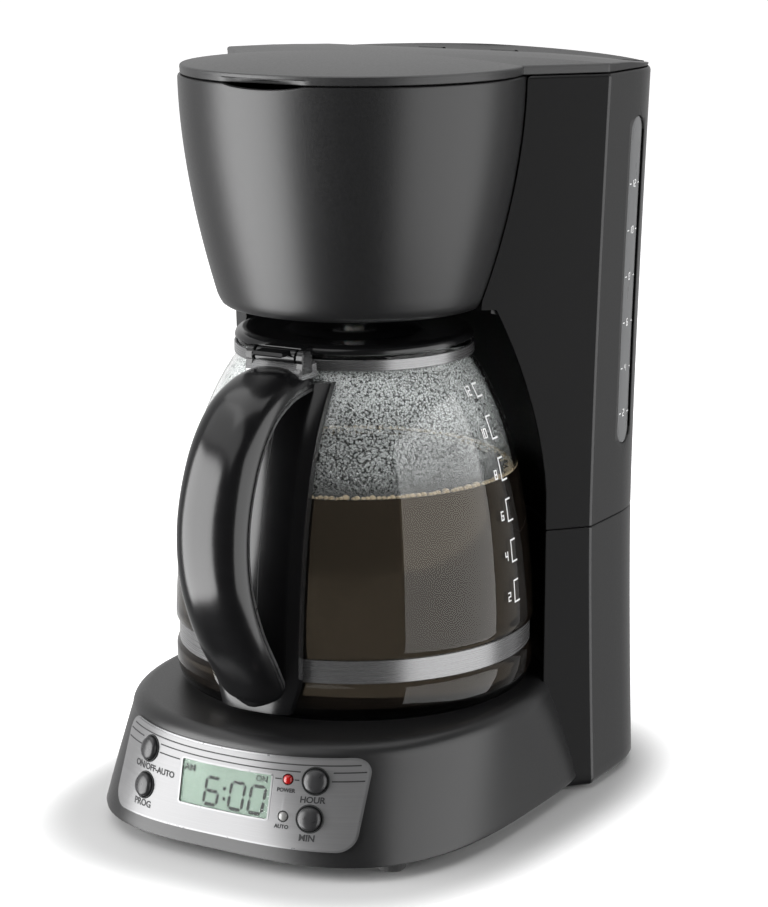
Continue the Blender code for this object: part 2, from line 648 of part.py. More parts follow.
# ---------------------------------------------------------------- lid
def lid_ring(inset, z, scale=1.0):
    """The lid's plan: round over the basket, slanted faces, sides and a straight hinge edge."""
    middle_y = 25.0
    rho = HOUSING_R - inset
    corner, tip = facet_end(SEAM_Z, inset, rho)
    start = math.atan2(tip.y, tip.x)
    points = []
    for k in range(25):
        angle = -math.pi - start + (math.pi + 2 * start) * k / 24
        points.append((rho * math.cos(angle), rho * math.sin(angle)))
    edge_y = HINGE_Y + 0.1 - inset
    wide = corner_x(SEAM_Z) - inset
    deep = REAR_Y - SIDE_END_Y - inset
    right = [(corner.x, corner.y)]
    for y in levels(SIDE_END_Y, edge_y, 5):
        right.append((wide * (1.0 - ((y - SIDE_END_Y) / deep) ** REAR_POWER) ** (1.0 / REAR_POWER), y))
    left = [(-x, y) for x, y in reversed(right)]
    outline = points + right + left
    return [(x * scale, middle_y + (y - middle_y) * scale, z) for x, y in outline]


def make_lid(root):
    pivot = empty("top_lid_axis", (0.0, HINGE_Y, HINGE_Z), root)
    low = SEAM_Z + GAP + 0.1
    high = SEAM_Z + LID_EDGE
    rings = [lid_ring(2.6, high - 2.0, 0.3), lid_ring(2.6, high - 2.2, 0.7), lid_ring(2.6, high - 2.6),
             lid_ring(2.6, low), lid_ring(0.5, low), lid_ring(0.5, high - 0.9), lid_ring(1.3, high)]
    for scale in (0.9, 0.7, 0.45, 0.2):
        rings.append(lid_ring(1.3, high + LID_CROWN * (1.0 - scale ** 2.4), scale))
    lid = skin("top_lid", rings, CHARCOAL, pivot)
    knuckle = spindle("join_knuckle", [(3.3, -30.0), (3.3, 30.0)], (0.0, HINGE_Y, HINGE_Z), (1, 0, 0),
                      CHARCOAL, pivot, steps=20)
    boolean(lid, [knuckle], "UNION")
    bore = spindle("cut_knuckle", [(1.9, -40.0), (1.9, 40.0)], (0.0, HINGE_Y, HINGE_Z), (1, 0, 0),
                   CHARCOAL, pivot, steps=16)
    notch = spindle("cut_finger_notch", [(13.0, -3.0), (13.0, 3.0)], (0.0, -HOUSING_R - 9.4, low + 1.0),
                    (0, 0, 1), CHARCOAL, pivot)
    boolean(lid, [bore, notch])
    spray = [(0.6, 297.6), (24.0, 297.6), (26.0, 299.0), (26.0, 301.6), (24.4, 301.6), (24.4, 299.4),
             (9.0, 299.4), (9.0, high - 3.0), (7.6, high - 3.0), (7.6, 299.0), (0.6, 299.0)]
    head = lathe("spray_head", spray, CHARCOAL, pivot, centre=(0.0, 20.0), steps=24)
    holes = []
    for k in range(6):
        angle = math.pi / 3 * k
        holes.append(lathe("cut_spray_%d" % k, [(1.6, 290.0), (1.6, 300.8)], CHARCOAL, pivot, steps=8,
                           centre=(16.0 * math.cos(angle), 20.0 + 16.0 * math.sin(angle))))
    boolean(head, holes)

    spindle("lid_hinge_pin", [(1.5, -37.0), (1.5, 37.0)], (0.0, HINGE_Y, HINGE_Z), (1, 0, 0), STEEL, root,
            steps=12)
    bracket = block("lid_hinge_bracket", (-70.0, HINGE_Y + 6.8, 300.0), (70.0, HINGE_Y + 10.0, 309.2),
                    CHARCOAL, root)
    for side in (-1, 1):
        ear = block("join_ear_%d" % (side + 1), (min(side * 31.0, side * 37.8), HINGE_Y - 2.8, 303.0),
                    (max(side * 31.0, side * 37.8), HINGE_Y + 8.0, 307.9), CHARCOAL, root)
        ledge = block("join_ledge_%d" % (side + 1), (min(side * 34.0, side * 76.0), HINGE_Y + 1.0, 305.0),
                      (max(side * 34.0, side * 76.0), HINGE_Y + 7.6, 307.5), CHARCOAL, root)
        boolean(bracket, [ear, ledge], "UNION")
    seat = spindle("cut_ear_bore", [(1.8, -45.0), (1.8, 45.0)], (0.0, HINGE_Y, HINGE_Z), (1, 0, 0), CHARCOAL,
                   root, steps=16)
    boolean(bracket, [seat])


# ---------------------------------------------------------------- brew basket
def make_basket(root):
    pivot = empty("brew_basket_axis", (0.0, 0.0, HOUSING_BOTTOM), root)
    floor = HOUSING_BOTTOM + WALL + GAP

    def wall_radius(z):
        return housing_radius(z) - WALL - 1.4

    outer = [(6.2, floor - 4.6), (9.4, floor - 4.6), (9.4, floor), (50.0, floor), (52.4, floor + 1.6)]
    outer += [(wall_radius(z), z) for z in levels(floor + 8.0, 286.0, 5)]
    inner = [(wall_radius(z) - 1.8, z) for z in levels(286.0, floor + 8.0, 4)]
    inner += [(48.6, floor + 2.0), (6.2, floor + 2.0)]
    lathe("brew_basket", outer + inner, TANK, pivot, loop=True)
    stem = empty("drip_valve_axis", (0.0, 0.0, floor), pivot)
    valve = [(0.4, floor - 8.6), (3.4, floor - 8.2), (4.2, floor - 6.8), (4.2, floor + 2.6),
             (8.6, floor + 2.6), (8.6, floor + 4.2), (2.2, floor + 4.6), (2.2, floor + 11.3),
             (0.4, floor + 11.6)]
    lathe("drip_valve", valve, SILICONE, stem, steps=16)
    coil = []
    turns = 4
    steps = 8 * turns
    for k in range(steps + 1):
        angle = 2.0 * math.pi * turns * k / steps
        coil.append((3.9 * math.cos(angle), 3.9 * math.sin(angle), floor + 5.8 + 7.6 * k / steps))
    tube("valve_spring", coil, 0.5, STEEL, pivot, sides=5, steps=1)
    cage = [(0.4, floor + 17.2), (10.6, floor + 17.2), (12.4, floor + 15.6), (12.4, floor + 2.3),
            (10.8, floor + 2.3), (10.8, floor + 15.0), (0.4, floor + 15.6)]
    guard = lathe("valve_cage", cage, TANK, pivot, steps=16)
    slits = []
    for k in range(2):
        half_x, half_y = (14.0, 3.0) if k == 0 else (3.0, 14.0)
        slits.append(block("cut_cage_%d" % k, (-half_x, -half_y, floor + 4.0),
                           (half_x, half_y, floor + 13.0), TANK, pivot))
    boolean(guard, slits)


# ---------------------------------------------------------------- carafe
def carafe_profile():
    """Outer (radius, z) points of the glass from its foot to its mouth."""
    foot = DECK_Z + GAP
    low, high = BAND_Z
    points = [(66.0, foot + 0.6), (69.5, foot), (72.6, foot + 0.7), (74.8, foot + 2.6), (75.9, foot + 5.6),
              (76.2, foot + 10.0), (75.8, low - 1.6), (74.0, low - 0.4), (74.0, high + 0.4)]
    points += [(glass_radius(z), z) for z in levels(SHOULDER_Z + 0.6, NECK_Z, 8)]
    points += [(NECK_R, MOUTH_Z - 0.8), (NECK_R - 0.7, MOUTH_Z)]
    return points


def make_carafe(root):
    pivot = empty("carafe_axis", (0.0, 0.0, DECK_Z), root)
    foot = DECK_Z + GAP
    outer = [(0.5, foot + 2.4), (50.0, foot + 1.6)] + carafe_profile()
    inner = [(NECK_R - GLASS_WALL + 0.3, MOUTH_Z), (NECK_R - GLASS_WALL, MOUTH_Z - 1.0)]
    inner += [(glass_radius(z) - GLASS_WALL, z) for z in levels(NECK_Z, SHOULDER_Z + 4.0, 5)]
    inner += [(GLASS_R - 4.4, BAND_Z[1]), (GLASS_R - 4.4, BAND_Z[0]), (GLASS_R - 3.4, foot + 9.0),
              (GLASS_R - 6.2, foot + 4.4), (50.0, foot + 3.9), (0.5, foot + 4.6)]
    lathe("carafe_glass", outer + inner, GLASS, pivot, steps=CARAFE_STEPS)
    low, high = BAND_Z
    lathe("carafe_band", [(74.3, low), (75.0, low + 0.2), (75.0, high - 0.2), (74.3, high)], STEEL, pivot,
          steps=CARAFE_STEPS, loop=True)
    lathe("neck_band", [(49.2, 192.9), (50.3, 192.9), (50.3, 197.4), (49.2, 197.4)], STEEL, pivot,
          steps=CARAFE_STEPS, loop=True)
    make_handle(pivot)
    make_carafe_lid(pivot)


def spine_ring(z, low_radius, high_radius, half_width):
    """A bent strip's plan, lying round the glass at the front."""
    points = []
    spread = 4
    for radius, order in ((high_radius, 1), (low_radius, -1)):
        half = math.asin(half_width / radius)
        for k in range(spread + 1):
            angle = -math.pi / 2 + order * half * (2.0 * k / spread - 1.0)
            points.append((radius * math.cos(angle), radius * math.sin(angle), z))
    return points


def make_handle(pivot):
    rings = []
    for z in levels(57.0, 190.0, 9):
        width = 20.0 - 4.0 * max(0.0, (70.0 - z) / 13.0)
        glass = glass_radius(z) if z > SHOULDER_Z else GLASS_R
        inside = glass + 0.5
        rings.append(spine_ring(z, inside, inside + 4.6, width))
    handle = skin("carafe_handle", rings, GLOSS_BLACK, pivot)
    # the grip bows out from the neck and comes back to the foot of the strip
    centre = through_points([(0.0, -58.0, 188.0), (0.0, -72.0, 187.0), (0.0, -88.0, 179.0),
                             (0.0, -101.5, 163.0), (0.0, -109.6, 141.0), (0.0, -107.6, 118.0),
                             (0.0, -98.6, 95.0), (0.0, -86.0, 76.0), (0.0, -79.5, 65.0)], 2)
    grip_rings = []
    for k, spot in enumerate(centre):
        share = k / (len(centre) - 1)
        ahead = (centre[min(k + 1, len(centre) - 1)] - centre[max(k - 1, 0)]).normalized()
        out = Vector((1.0, 0.0, 0.0)).cross(ahead)
        bulge = math.sin(math.pi * share)
        wide = 12.5 + 3.5 * bulge - 2.0 * share
        thick = 5.6 + 2.6 * bulge
        ring = []
        for i in range(12):
            angle = 2.0 * math.pi * i / 12
            c = math.cos(angle)
            s = math.sin(angle)
            x = wide * math.copysign(abs(c) ** 0.8, c)
            r = thick * math.copysign(abs(s) ** 0.9, s)
            ring.append(tuple(spot + Vector((x, 0.0, 0.0)) + out * r))
        grip_rings.append(ring)
    grip = skin("join_grip", grip_rings, GLOSS_BLACK, pivot)
    head = block("join_handle_head", (-13.6, -66.5, 182.0), (13.6, -50.9, 195.8), GLOSS_BLACK, pivot)
    boolean(handle, [grip, head], "UNION")
    for side in (-1, 1):
        ear = block("join_handle_ear_%d" % (side + 1), (min(side * 9.9, side * 13.4), -63.0, 194.0),
                    (max(side * 9.9, side * 13.4), -55.0, 202.9), GLOSS_BLACK, pivot)
        boolean(handle, [ear], "UNION")
    bore = spindle("cut_handle_ears", [(1.7, -20.0), (1.7, 20.0)], (0.0, CARAFE_HINGE_Y, CARAFE_HINGE_Z),
                   (1, 0, 0), GLOSS_BLACK, pivot, steps=16)
    neck = lathe("cut_handle_neck", [(NECK_R + 2.0, 150.0), (NECK_R + 2.0, 215.0)], GLOSS_BLACK, pivot)
    side = [(GLASS_R + 0.4, 40.0)] + [(glass_radius(z) + 0.4, z) for z in levels(SHOULDER_Z, NECK_Z, 8)]
    glass = lathe("cut_handle_glass", side, GLOSS_BLACK, pivot)
    boolean(handle, [bore, neck, glass])
    screw_z = 92.0
    screw_y = -glass_radius(screw_z) - 5.5
    spindle("handle_screw", [(3.0, 0.0), (3.0, 1.0), (1.2, 1.9)], (0.0, screw_y, screw_z),
            (0, -1, 0), STEEL, pivot, steps=12)
    spindle("carafe_lid_pin", [(1.4, -13.2), (1.4, 13.2)], (0.0, CARAFE_HINGE_Y, CARAFE_HINGE_Z), (1, 0, 0),
            STEEL, pivot, steps=12)


def make_carafe_lid(parent):
    pivot = empty("carafe_lid_axis", (0.0, CARAFE_HINGE_Y, CARAFE_HINGE_Z), parent)
    under = MOUTH_Z + GAP
    rings = [(6.0, under + 1.6), (42.4, under + 1.6), (42.4, 194.0), (44.6, 194.0), (44.6, under),
             (49.6, under), (50.0, under + 1.0), (48.6, under + 3.2), (40.0, under + 4.6),
             (12.0, under + 5.4), (6.0, under + 5.0)]
    lid = lathe("carafe_lid", rings, GLOSS_BLACK, pivot, loop=True, steps=40)
    lug = block("join_lug", (-9.5, CARAFE_HINGE_Y - 1.0, under + 0.2), (9.5, -44.0, CARAFE_HINGE_Z + 3.3),
                GLOSS_BLACK, pivot)
    centre = (0.0, CARAFE_HINGE_Y, CARAFE_HINGE_Z)
    barrel = spindle("join_barrel", [(3.4, -9.5), (3.4, 9.5)], centre, (1, 0, 0), GLOSS_BLACK, pivot, steps=20)
    thumb = block("join_thumb_tab", (-7.0, CARAFE_HINGE_Y - 9.0, CARAFE_HINGE_Z + 0.6),
                  (7.0, CARAFE_HINGE_Y + 2.0, CARAFE_HINGE_Z + 3.2), GLOSS_BLACK, pivot)
    boolean(lid, [lug, barrel, thumb], "UNION")
    bore = spindle("cut_barrel", [(1.7, -20.0), (1.7, 20.0)], centre, (1, 0, 0), GLOSS_BLACK, pivot, steps=16)
    boolean(lid, [bore])


def main():
    clear_scene()
    root = empty("brewing_axis", (0.0, 0.0, 0.0))
    root.location = Vector((0.0, BREW_AXIS_Y * MM, 0.0))
    make_base(root)
    make_plate(root)
    make_cover(root)
    make_feet(root)
    make_panel(root)
    make_leds(root)
    make_buttons(root)
    make_tower(root)
    make_reservoir(root)
    make_window(root)
    make_basket_housing(root)
    make_water_path(root)
    make_lid(root)
    make_basket(root)
    make_carafe(root)


main()
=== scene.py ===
"""Looks for the drip coffee maker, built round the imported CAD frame.

Shapes are written in millimetres round the brewing axis, as in the CAD source, and turned into
metres when a mesh is made.
"""

import math
import random

import bmesh
import bpy
from mathutils import Matrix, Vector


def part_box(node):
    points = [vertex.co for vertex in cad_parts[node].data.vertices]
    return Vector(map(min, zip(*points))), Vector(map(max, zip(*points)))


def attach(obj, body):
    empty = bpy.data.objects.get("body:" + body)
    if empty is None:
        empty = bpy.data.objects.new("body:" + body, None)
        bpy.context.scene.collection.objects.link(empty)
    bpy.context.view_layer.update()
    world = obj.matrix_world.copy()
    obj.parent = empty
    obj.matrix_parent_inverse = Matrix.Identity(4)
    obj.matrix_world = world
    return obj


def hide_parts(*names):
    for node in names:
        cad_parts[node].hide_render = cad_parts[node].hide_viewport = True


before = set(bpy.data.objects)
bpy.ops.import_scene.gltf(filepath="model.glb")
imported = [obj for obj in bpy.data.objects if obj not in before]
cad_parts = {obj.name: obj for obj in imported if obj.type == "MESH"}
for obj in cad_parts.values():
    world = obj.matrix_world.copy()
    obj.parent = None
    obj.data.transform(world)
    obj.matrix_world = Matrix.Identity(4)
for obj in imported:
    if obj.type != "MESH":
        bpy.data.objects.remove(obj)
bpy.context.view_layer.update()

MM = 0.001


# ---------------------------------------------------------------- places, from the frame
def box_mm(node):
    low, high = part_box(node)
    return low / MM, high / MM


plate_low, plate_high = box_mm("warming_plate")
AXIS_Y = (plate_low.y + plate_high.y) / 2       # the brewing axis
DECK_Z = box_mm("base_housing")[1].z            # top of the base
BASE_Z = box_mm("base_housing")[0].z
TOWER_BOTTOM = box_mm("tower_housing")[0].z
SPLIT_Z = box_mm("reservoir_housing")[0].z      # joint line across the tower
RIM_Z = box_mm("basket_housing")[1].z           # rim under the lid
HOUSING_BOTTOM = box_mm("basket_housing")[0].z
LID_TOP = box_mm("top_lid")[1].z
CARAFE_FOOT = box_mm("carafe_glass")[0].z
MOUTH_Z = box_mm("carafe_glass")[1].z
BAND_LOW = box_mm("carafe_band")[0].z
BAND_HIGH = box_mm("carafe_band")[1].z
NECK_LOW = box_mm("neck_band")[0].z
NECK_HIGH = box_mm("neck_band")[1].z
PLATE_R = (plate_high.x - plate_low.x) / 2

HOUSING_R = 72.2            # the round housing at its rim
HOUSING_TAPER = 15.4        # how much it narrows towards its foot
RECESS_R = 81.0             # the bay behind the carafe, low down
CORNER_Y = 47.0             # where the side walls start
SIDE_END_Y = 68.0           # where they start to round off towards the back
REAR_Y = 121.0
REAR_POWER = 3.0
FACET_ANGLE = math.radians(50.0)
WAIST_X = 88.8              # half the width at the joint line
TOP_FLARE = 5.4             # what the top adds to it
FOOT_FLARE = 3.1            # what the foot adds to it
SEAT_GAP = 0.3
WALL = 2.4
GLASS_R = 76.4              # outside of the carafe
GLASS_WALL = 2.2
NECK_R = 48.8               # outside of its neck
NECK_Z = 192.5
SHOULDER_Z = BAND_HIGH + 0.6
HINGE_Y = 98.0
JUG_HINGE_Y = -59.0
JUG_HINGE_Z = 199.6
LEVEL_Z = 143.5             # surface of the coffee
LID_EDGE = 4.2
BUTTON_X = 39.0
BUTTON_HIGH_Z = 38.4
BUTTON_LOW_Z = 24.2
LED_X = 28.5
LCD_X = (-20.4, 22.4)
LCD_Z = (21.6, 40.0)
PANEL_X = (-56.4, 56.4)
PANEL_Z = (12.7, 46.4)

TURN = 160                  # steps round a lathe
ARC = 72                    # steps along the tower's hollow front
REAR = 48                   # steps round its back
SKIRT_TURN = 200            # steps round the base


# the material slot that each material stands for
SLOTS = {
    "charcoal_plastic": "charcoal_plastic", "lid_plastic_painted_light": "charcoal_plastic",
    "gloss_black_plastic": "gloss_black_plastic", "button_plastic": "gloss_black_plastic",
    "brushed_steel": "brushed_steel", "band_steel": "brushed_steel", "bright_rim": "brushed_steel",
    "coated_plate": "coated_plate", "carafe_clear_glass": "carafe_glass", "lcd_lens": "lcd_window",
    "lcd_face": "lcd_green", "window_plastic": "window_plastic",
}


# ---------------------------------------------------------------- mesh helpers
def metres(point):
    return Vector((point[0], point[1] + AXIS_Y, point[2])) * MM


def piece(name, verts, faces, material, body, stands_for=(), sharp=32.0, weighted=True, slot=None):
    mesh = bpy.data.meshes.new(name)
    mesh.from_pydata([metres(v) for v in verts], [], faces)
    bm = bmesh.new()
    bm.from_mesh(mesh)
    bmesh.ops.remove_doubles(bm, verts=bm.verts, dist=0.000002)
    bmesh.ops.dissolve_degenerate(bm, edges=bm.edges, dist=0.000002)
    bmesh.ops.recalc_face_normals(bm, faces=bm.faces)
    bm.to_mesh(mesh)
    bm.free()
    mesh.shade_smooth()
    if sharp:
        mesh.set_sharp_from_angle(angle=math.radians(sharp))
    obj = bpy.data.objects.new(name, mesh)
    bpy.context.scene.collection.objects.link(obj)
    mesh.materials.append(material)
    if weighted:
        shade = obj.modifiers.new("weighted", "WEIGHTED_NORMAL")
        shade.keep_sharp = True
    if body:
        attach(obj, body)
    if stands_for:
        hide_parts(*stands_for)
    slot = slot or SLOTS.get(material.name.split(".")[0])
    return obj


def loft(rings, closed=False):
    """Faces between equal rings of points: capped at both ends, or looped round."""
    count = len(rings[0])
    verts = [point for ring in rings for point in ring]
    faces = []
    spans = len(rings) if closed else len(rings) - 1
    for k in range(spans):
        low = k * count
        high = ((k + 1) % len(rings)) * count
        for i in range(count):
            j = (i + 1) % count
            faces.append((low + i, low + j, high + j, high + i))
    if not closed:
        faces.append(tuple(range(count - 1, -1, -1)))
        faces.append(tuple(range((len(rings) - 1) * count, len(rings) * count)))
    return verts, faces


def form(name, rings, material, body, **more):
    """A piece lofted through rings and capped at both ends."""
    return piece(name, *loft(rings), material, body, **more)


def hoop(name, rings, material, body, **more):
    """A piece lofted through rings that come back to the first."""
    return piece(name, *loft(rings, closed=True), material, body, **more)


def slab(name, stations, trim, outline, material, body, **more):
    """A prism between stations along X; the (y, z) outline is trimmed at the first and the last."""
    rings = []
    for k, x in enumerate(stations):
        cut = trim if k in (0, len(stations) - 1) else 0.0
        rings.append([(x, y, z) for y, z in outline(cut)])
    return form(name, rings, material, body, **more)


def circle(radius, z, steps=TURN):
    return [polar(radius, 2.0 * math.pi * k / steps, z) for k in range(steps)]


def lathe(name, profile, material, body, steps=TURN, closed=False, **more):
    """A piece turned round the brewing axis from (radius, z) points."""
    make = hoop if closed else form
    return make(name, [circle(r, z, steps=steps) for r, z in profile], material, body, **more)


def aim(point, direction):
    turn = Vector((0.0, 0.0, 1.0)).rotation_difference(Vector(direction).normalized())
    return Matrix.Translation(Vector(point)) @ turn.to_matrix().to_4x4()


def spindle(name, profile, point, direction, material, body, steps=48, closed=False, **more):
    """A piece turned round any axis from (radius, height) points."""
    turn = aim(point, direction)
    rings = [[tuple(turn @ Vector(p)) for p in circle(r, h, steps=steps)] for r, h in profile]
    make = hoop if closed else form
    return make(name, rings, material, body, **more)


def smooth_path(points, steps):
    """A smooth curve through points (Catmull-Rom)."""
    spots = [Vector(p) for p in points]
    spots = [2 * spots[0] - spots[1]] + spots + [2 * spots[-1] - spots[-2]]
    path = []
    for k in range(1, len(spots) - 2):
        a, b, c, d = spots[k - 1:k + 3]
        for i in range(steps):
            t = i / steps
            path.append(0.5 * (2 * b + (c - a) * t + (2 * a - 5 * b + 4 * c - d) * t * t
                               + (3 * b - a - 3 * c + d) * t ** 3))
    path.append(spots[-2])
    return path


def rounded(profile, radius, steps=4):
    """Round every corner of an open (radius, z) profile with small arcs."""
    spots = [Vector((p[0], p[1])) for p in profile]
    out = [spots[0]]
    for a, b, c in zip(spots, spots[1:], spots[2:]):
        out += fillet(a, b, c, radius, steps)
    out.append(spots[-1])
    return [(p.x, p.y) for p in out]


def fillet(a, corner, b, radius, steps):
    """Points of the arc that rounds a corner between two straight legs."""
    to_a = a - corner
    to_b = b - corner
    reach_limit = 0.45 * min(to_a.length, to_b.length)
    if reach_limit < 0.001:
        return [corner]
    to_a.normalize()
    to_b.normalize()
    half = to_a.angle(to_b) / 2
    if half > math.radians(86.0):
        return [corner]
    reach = min(radius / math.tan(half), reach_limit)
    middle = (to_a + to_b).normalized() * reach / math.cos(half)
    size = reach * math.tan(half)
    centre = corner + middle
    first = (corner + to_a * reach - centre) / size
    last = (corner + to_b * reach - centre) / size
    points = []
    for k in range(steps + 1):
        share = k / steps
        direction = (first * (1 - share) + last * share).normalized()
        points.append(centre + direction * size)
    return points


# ---------------------------------------------------------------- outlines, as in the CAD
def housing_radius(z):
    return HOUSING_R - HOUSING_TAPER * (max(RIM_Z - z, 0.0) / 91.0) ** 1.75


def recess_radius(z):
    return RECESS_R - 20.0 * (max(z - 130.0, 0.0) / 85.0) ** 1.7


def front_radius(z):
    return recess_radius(z) if z < HOUSING_BOTTOM else housing_radius(max(z, HOUSING_BOTTOM + 3.0)) + SEAT_GAP


def corner_x(z):
    if z > SPLIT_Z:
        return WAIST_X + TOP_FLARE * ((z - SPLIT_Z) / (RIM_Z - SPLIT_Z)) ** 1.5
    return WAIST_X + FOOT_FLARE * ((SPLIT_Z - z) / (SPLIT_Z - TOWER_BOTTOM)) ** 1.5


def facet_end(z, inset, radius):
    corner = Vector((corner_x(z) - inset, CORNER_Y + inset * math.tan(math.radians(20.0))))
    along = Vector((-math.cos(FACET_ANGLE), -math.sin(FACET_ANGLE)))
    half = corner.dot(along)
    reach = -half - math.sqrt(half * half - corner.length_squared + radius * radius)
    return corner, corner + along * reach


def rear_points(z, inset, steps=REAR):
    """The rounded back, from one side wall to the other."""
    wide = corner_x(z) - inset
    deep = REAR_Y - SIDE_END_Y - inset
    points = []
    for k in range(steps + 1):
        angle = math.pi * k / steps
        c = math.cos(angle)
        s = math.sin(angle)
        x = wide * math.copysign(abs(c) ** (2.0 / REAR_POWER), c)
        points.append((x, SIDE_END_Y + deep * abs(s) ** (2.0 / REAR_POWER)))
    return points


def tower_ring(z, inset, height=None, edge=2.6):
    """The tower's plan at a height with rounded upright edges."""
    rho = front_radius(z) + inset
    corner, tip = facet_end(z, inset, rho)
    start = math.atan2(tip.y, tip.x)
    step = 0.02
    on_arc = Vector((rho * math.cos(start + step), rho * math.sin(start + step)))
    right = fillet(on_arc, tip, corner, 0.9, 4)
    right += [tip.lerp(corner, share) for share in (0.25, 0.5, 0.75)]
    right += fillet(tip, corner, Vector((corner.x, SIDE_END_Y)), max(edge - inset, 0.4), 6)
    right.append(Vector((corner.x, (CORNER_Y + SIDE_END_Y) / 2 + 3.0)))
    right = [(p.x, p.y) for p in right]
    left = [(-x, y) for x, y in reversed(right)]
    arc = []
    for k in range(1, ARC):
        angle = (math.pi - start - step) - (math.pi - 2 * start - 2 * step) * k / ARC
        arc.append((rho * math.cos(angle), rho * math.sin(angle)))
    level = z if height is None else height
    return [(x, y, level) for x, y in right + rear_points(z, inset) + left + arc]


def above(base, points):
    """(radius, height) points lifted to a base height."""
    return [(radius, base + height) for radius, height in points]


def polar(radius, angle, z):
    return (radius * math.cos(angle), radius * math.sin(angle), z)


def levels(low, high, steps):
    return [low + (high - low) * k / steps for k in range(steps + 1)]


def skirt(z):
    fall = (DECK_Z - z) / (DECK_Z - BASE_Z)
    return 83.0 + 5.6 * fall, 86.6 + 30.2 * fall, 2.13 + 1.1 * fall, -12.4 + 21.2 * fall


def skirt_ring(z, inset, height=None):
    wide, deep, power, middle = skirt(z)
    points = []
    for k in range(SKIRT_TURN):
        angle = 2.0 * math.pi * (k + 0.5) / SKIRT_TURN
        c = math.cos(angle)
        s = math.sin(angle)
        back = deep if s < 0 else min(deep, 84.0 - middle)
        x = (wide - inset) * math.copysign(abs(c) ** (2.0 / power), c)
        y = middle + (back - inset) * math.copysign(abs(s) ** (2.0 / power), s)
        points.append((x, y, z if height is None else height))
    return points


def skirt_point(x, z):
    wide, deep, power, middle = skirt(z)
    return Vector((x, middle - deep * (1.0 - abs(x / wide) ** power) ** (1.0 / power), z))


def skirt_normal(x, z):
    step = 0.5
    across = skirt_point(x + step, z) - skirt_point(x - step, z)
    rise = skirt_point(x, z + step) - skirt_point(x, z - step)
    return across.cross(rise).normalized()


def skirt_hole(x, z, radius, steps=32):
    centre = skirt_point(x, z)
    normal = skirt_normal(x, z)
    across = Vector((1.0, 0.0, 0.0))
    across = (across - normal * across.dot(normal)).normalized()
    rise = normal.cross(across)
    points = []
    for k in range(steps):
        angle = 2.0 * math.pi * (k + 0.5) / steps
        point = centre + (across * math.cos(angle) + rise * math.sin(angle)) * radius
        points.append((point.x, point.z))
    return points


def glass_radius(z):
    t = (z - SHOULDER_Z) / (NECK_Z - SHOULDER_Z)
    return GLASS_R - (GLASS_R - NECK_R) * (0.5 * t ** 1.5 + 0.5 * t ** 4.5)


def skirt_sheet(name, shapes, depths, material, body, strip=2.5, **more):
    """Sheets that follow the front of the base between two depths outside it.

    Each shape is a list of (x, z) loops: its outline, then its holes.
    """
    verts = []
    faces = []
    for loops in shapes:
        bm = bmesh.new()
        for loop in loops:
            spots = [bm.verts.new((x, 0.0, z)) for x, z in loop]
            for a, b in zip(spots, spots[1:] + spots[:1]):
                bm.edges.new((a, b))
        bmesh.ops.triangle_fill(bm, use_beauty=True, use_dissolve=False, edges=bm.edges[:])
        xs = [x for x, z in loops[0]]
        for k in range(math.ceil(min(xs) / strip), math.floor(max(xs) / strip) + 1):
            everything = bm.verts[:] + bm.edges[:] + bm.faces[:]
            bmesh.ops.bisect_plane(bm, geom=everything, dist=0.0005, plane_co=(k * strip + 0.013, 0.0, 0.0),
                                   plane_no=(1.0, 0.0, 0.0))
        bmesh.ops.triangulate(bm, faces=bm.faces[:])
        bm.verts.index_update()
        flat = [(v.co.x, v.co.z) for v in bm.verts]
        start = len(verts)
        count = len(flat)
        for depth in depths:
            verts += [tuple(skirt_point(x, z) + skirt_normal(x, z) * depth) for x, z in flat]
        for face in bm.faces:
            corners = [v.index for v in face.verts]
            faces.append(tuple(start + i for i in corners))
            faces.append(tuple(start + count + i for i in reversed(corners)))
        for edge in bm.edges:
            if len(edge.link_faces) == 1:
                a, b = (v.index for v in edge.verts)
                faces.append((start + a, start + b, start + count + b, start + count + a))
        bm.free()
    return piece(name, verts, faces, material, body, weighted=False, **more)


# ---------------------------------------------------------------- materials
def new_material(name, colour, roughness, metallic=0.0, **more):
    made = bpy.data.materials.new(name)
    made.use_nodes = True
    return adjust(made, Base_Color=(*colour, 1.0), Roughness=roughness, Metallic=metallic, **more)


def adjust(material, **inputs):
    """Set inputs of the material's shader and give the material back."""
    shader = material.node_tree.nodes["Principled BSDF"]
    for key, value in inputs.items():
        shader.inputs[key.replace("_", " ")].default_value = value
    return material


def add(owner, kind, operation=None, **inputs):
    """A node in the tree of a material or of the world."""
    node = owner.node_tree.nodes.new(kind)
    if operation:
        node.operation = operation
    for key, value in inputs.items():
        node.inputs[key.replace("_", " ")].default_value = value
    return node


def link(owner, source, target):
    owner.node_tree.links.new(source, target)


def rescale(owner, source, low, high, to_low, to_high, smooth=False):
    """A value carried from one range to another."""
    node = add(owner, "ShaderNodeMapRange", From_Min=low, From_Max=high, To_Min=to_low, To_Max=to_high)
    if smooth:
        node.interpolation_type = "SMOOTHSTEP"
    link(owner, source, node.inputs["Value"])
    return node.outputs["Result"]


def combine(owner, operation, first, second):
    """Arithmetic on two values."""
    node = add(owner, "ShaderNodeMath", operation)
    link(owner, first, node.inputs[0])
    link(owner, second, node.inputs[1])
    return node.outputs["Value"]


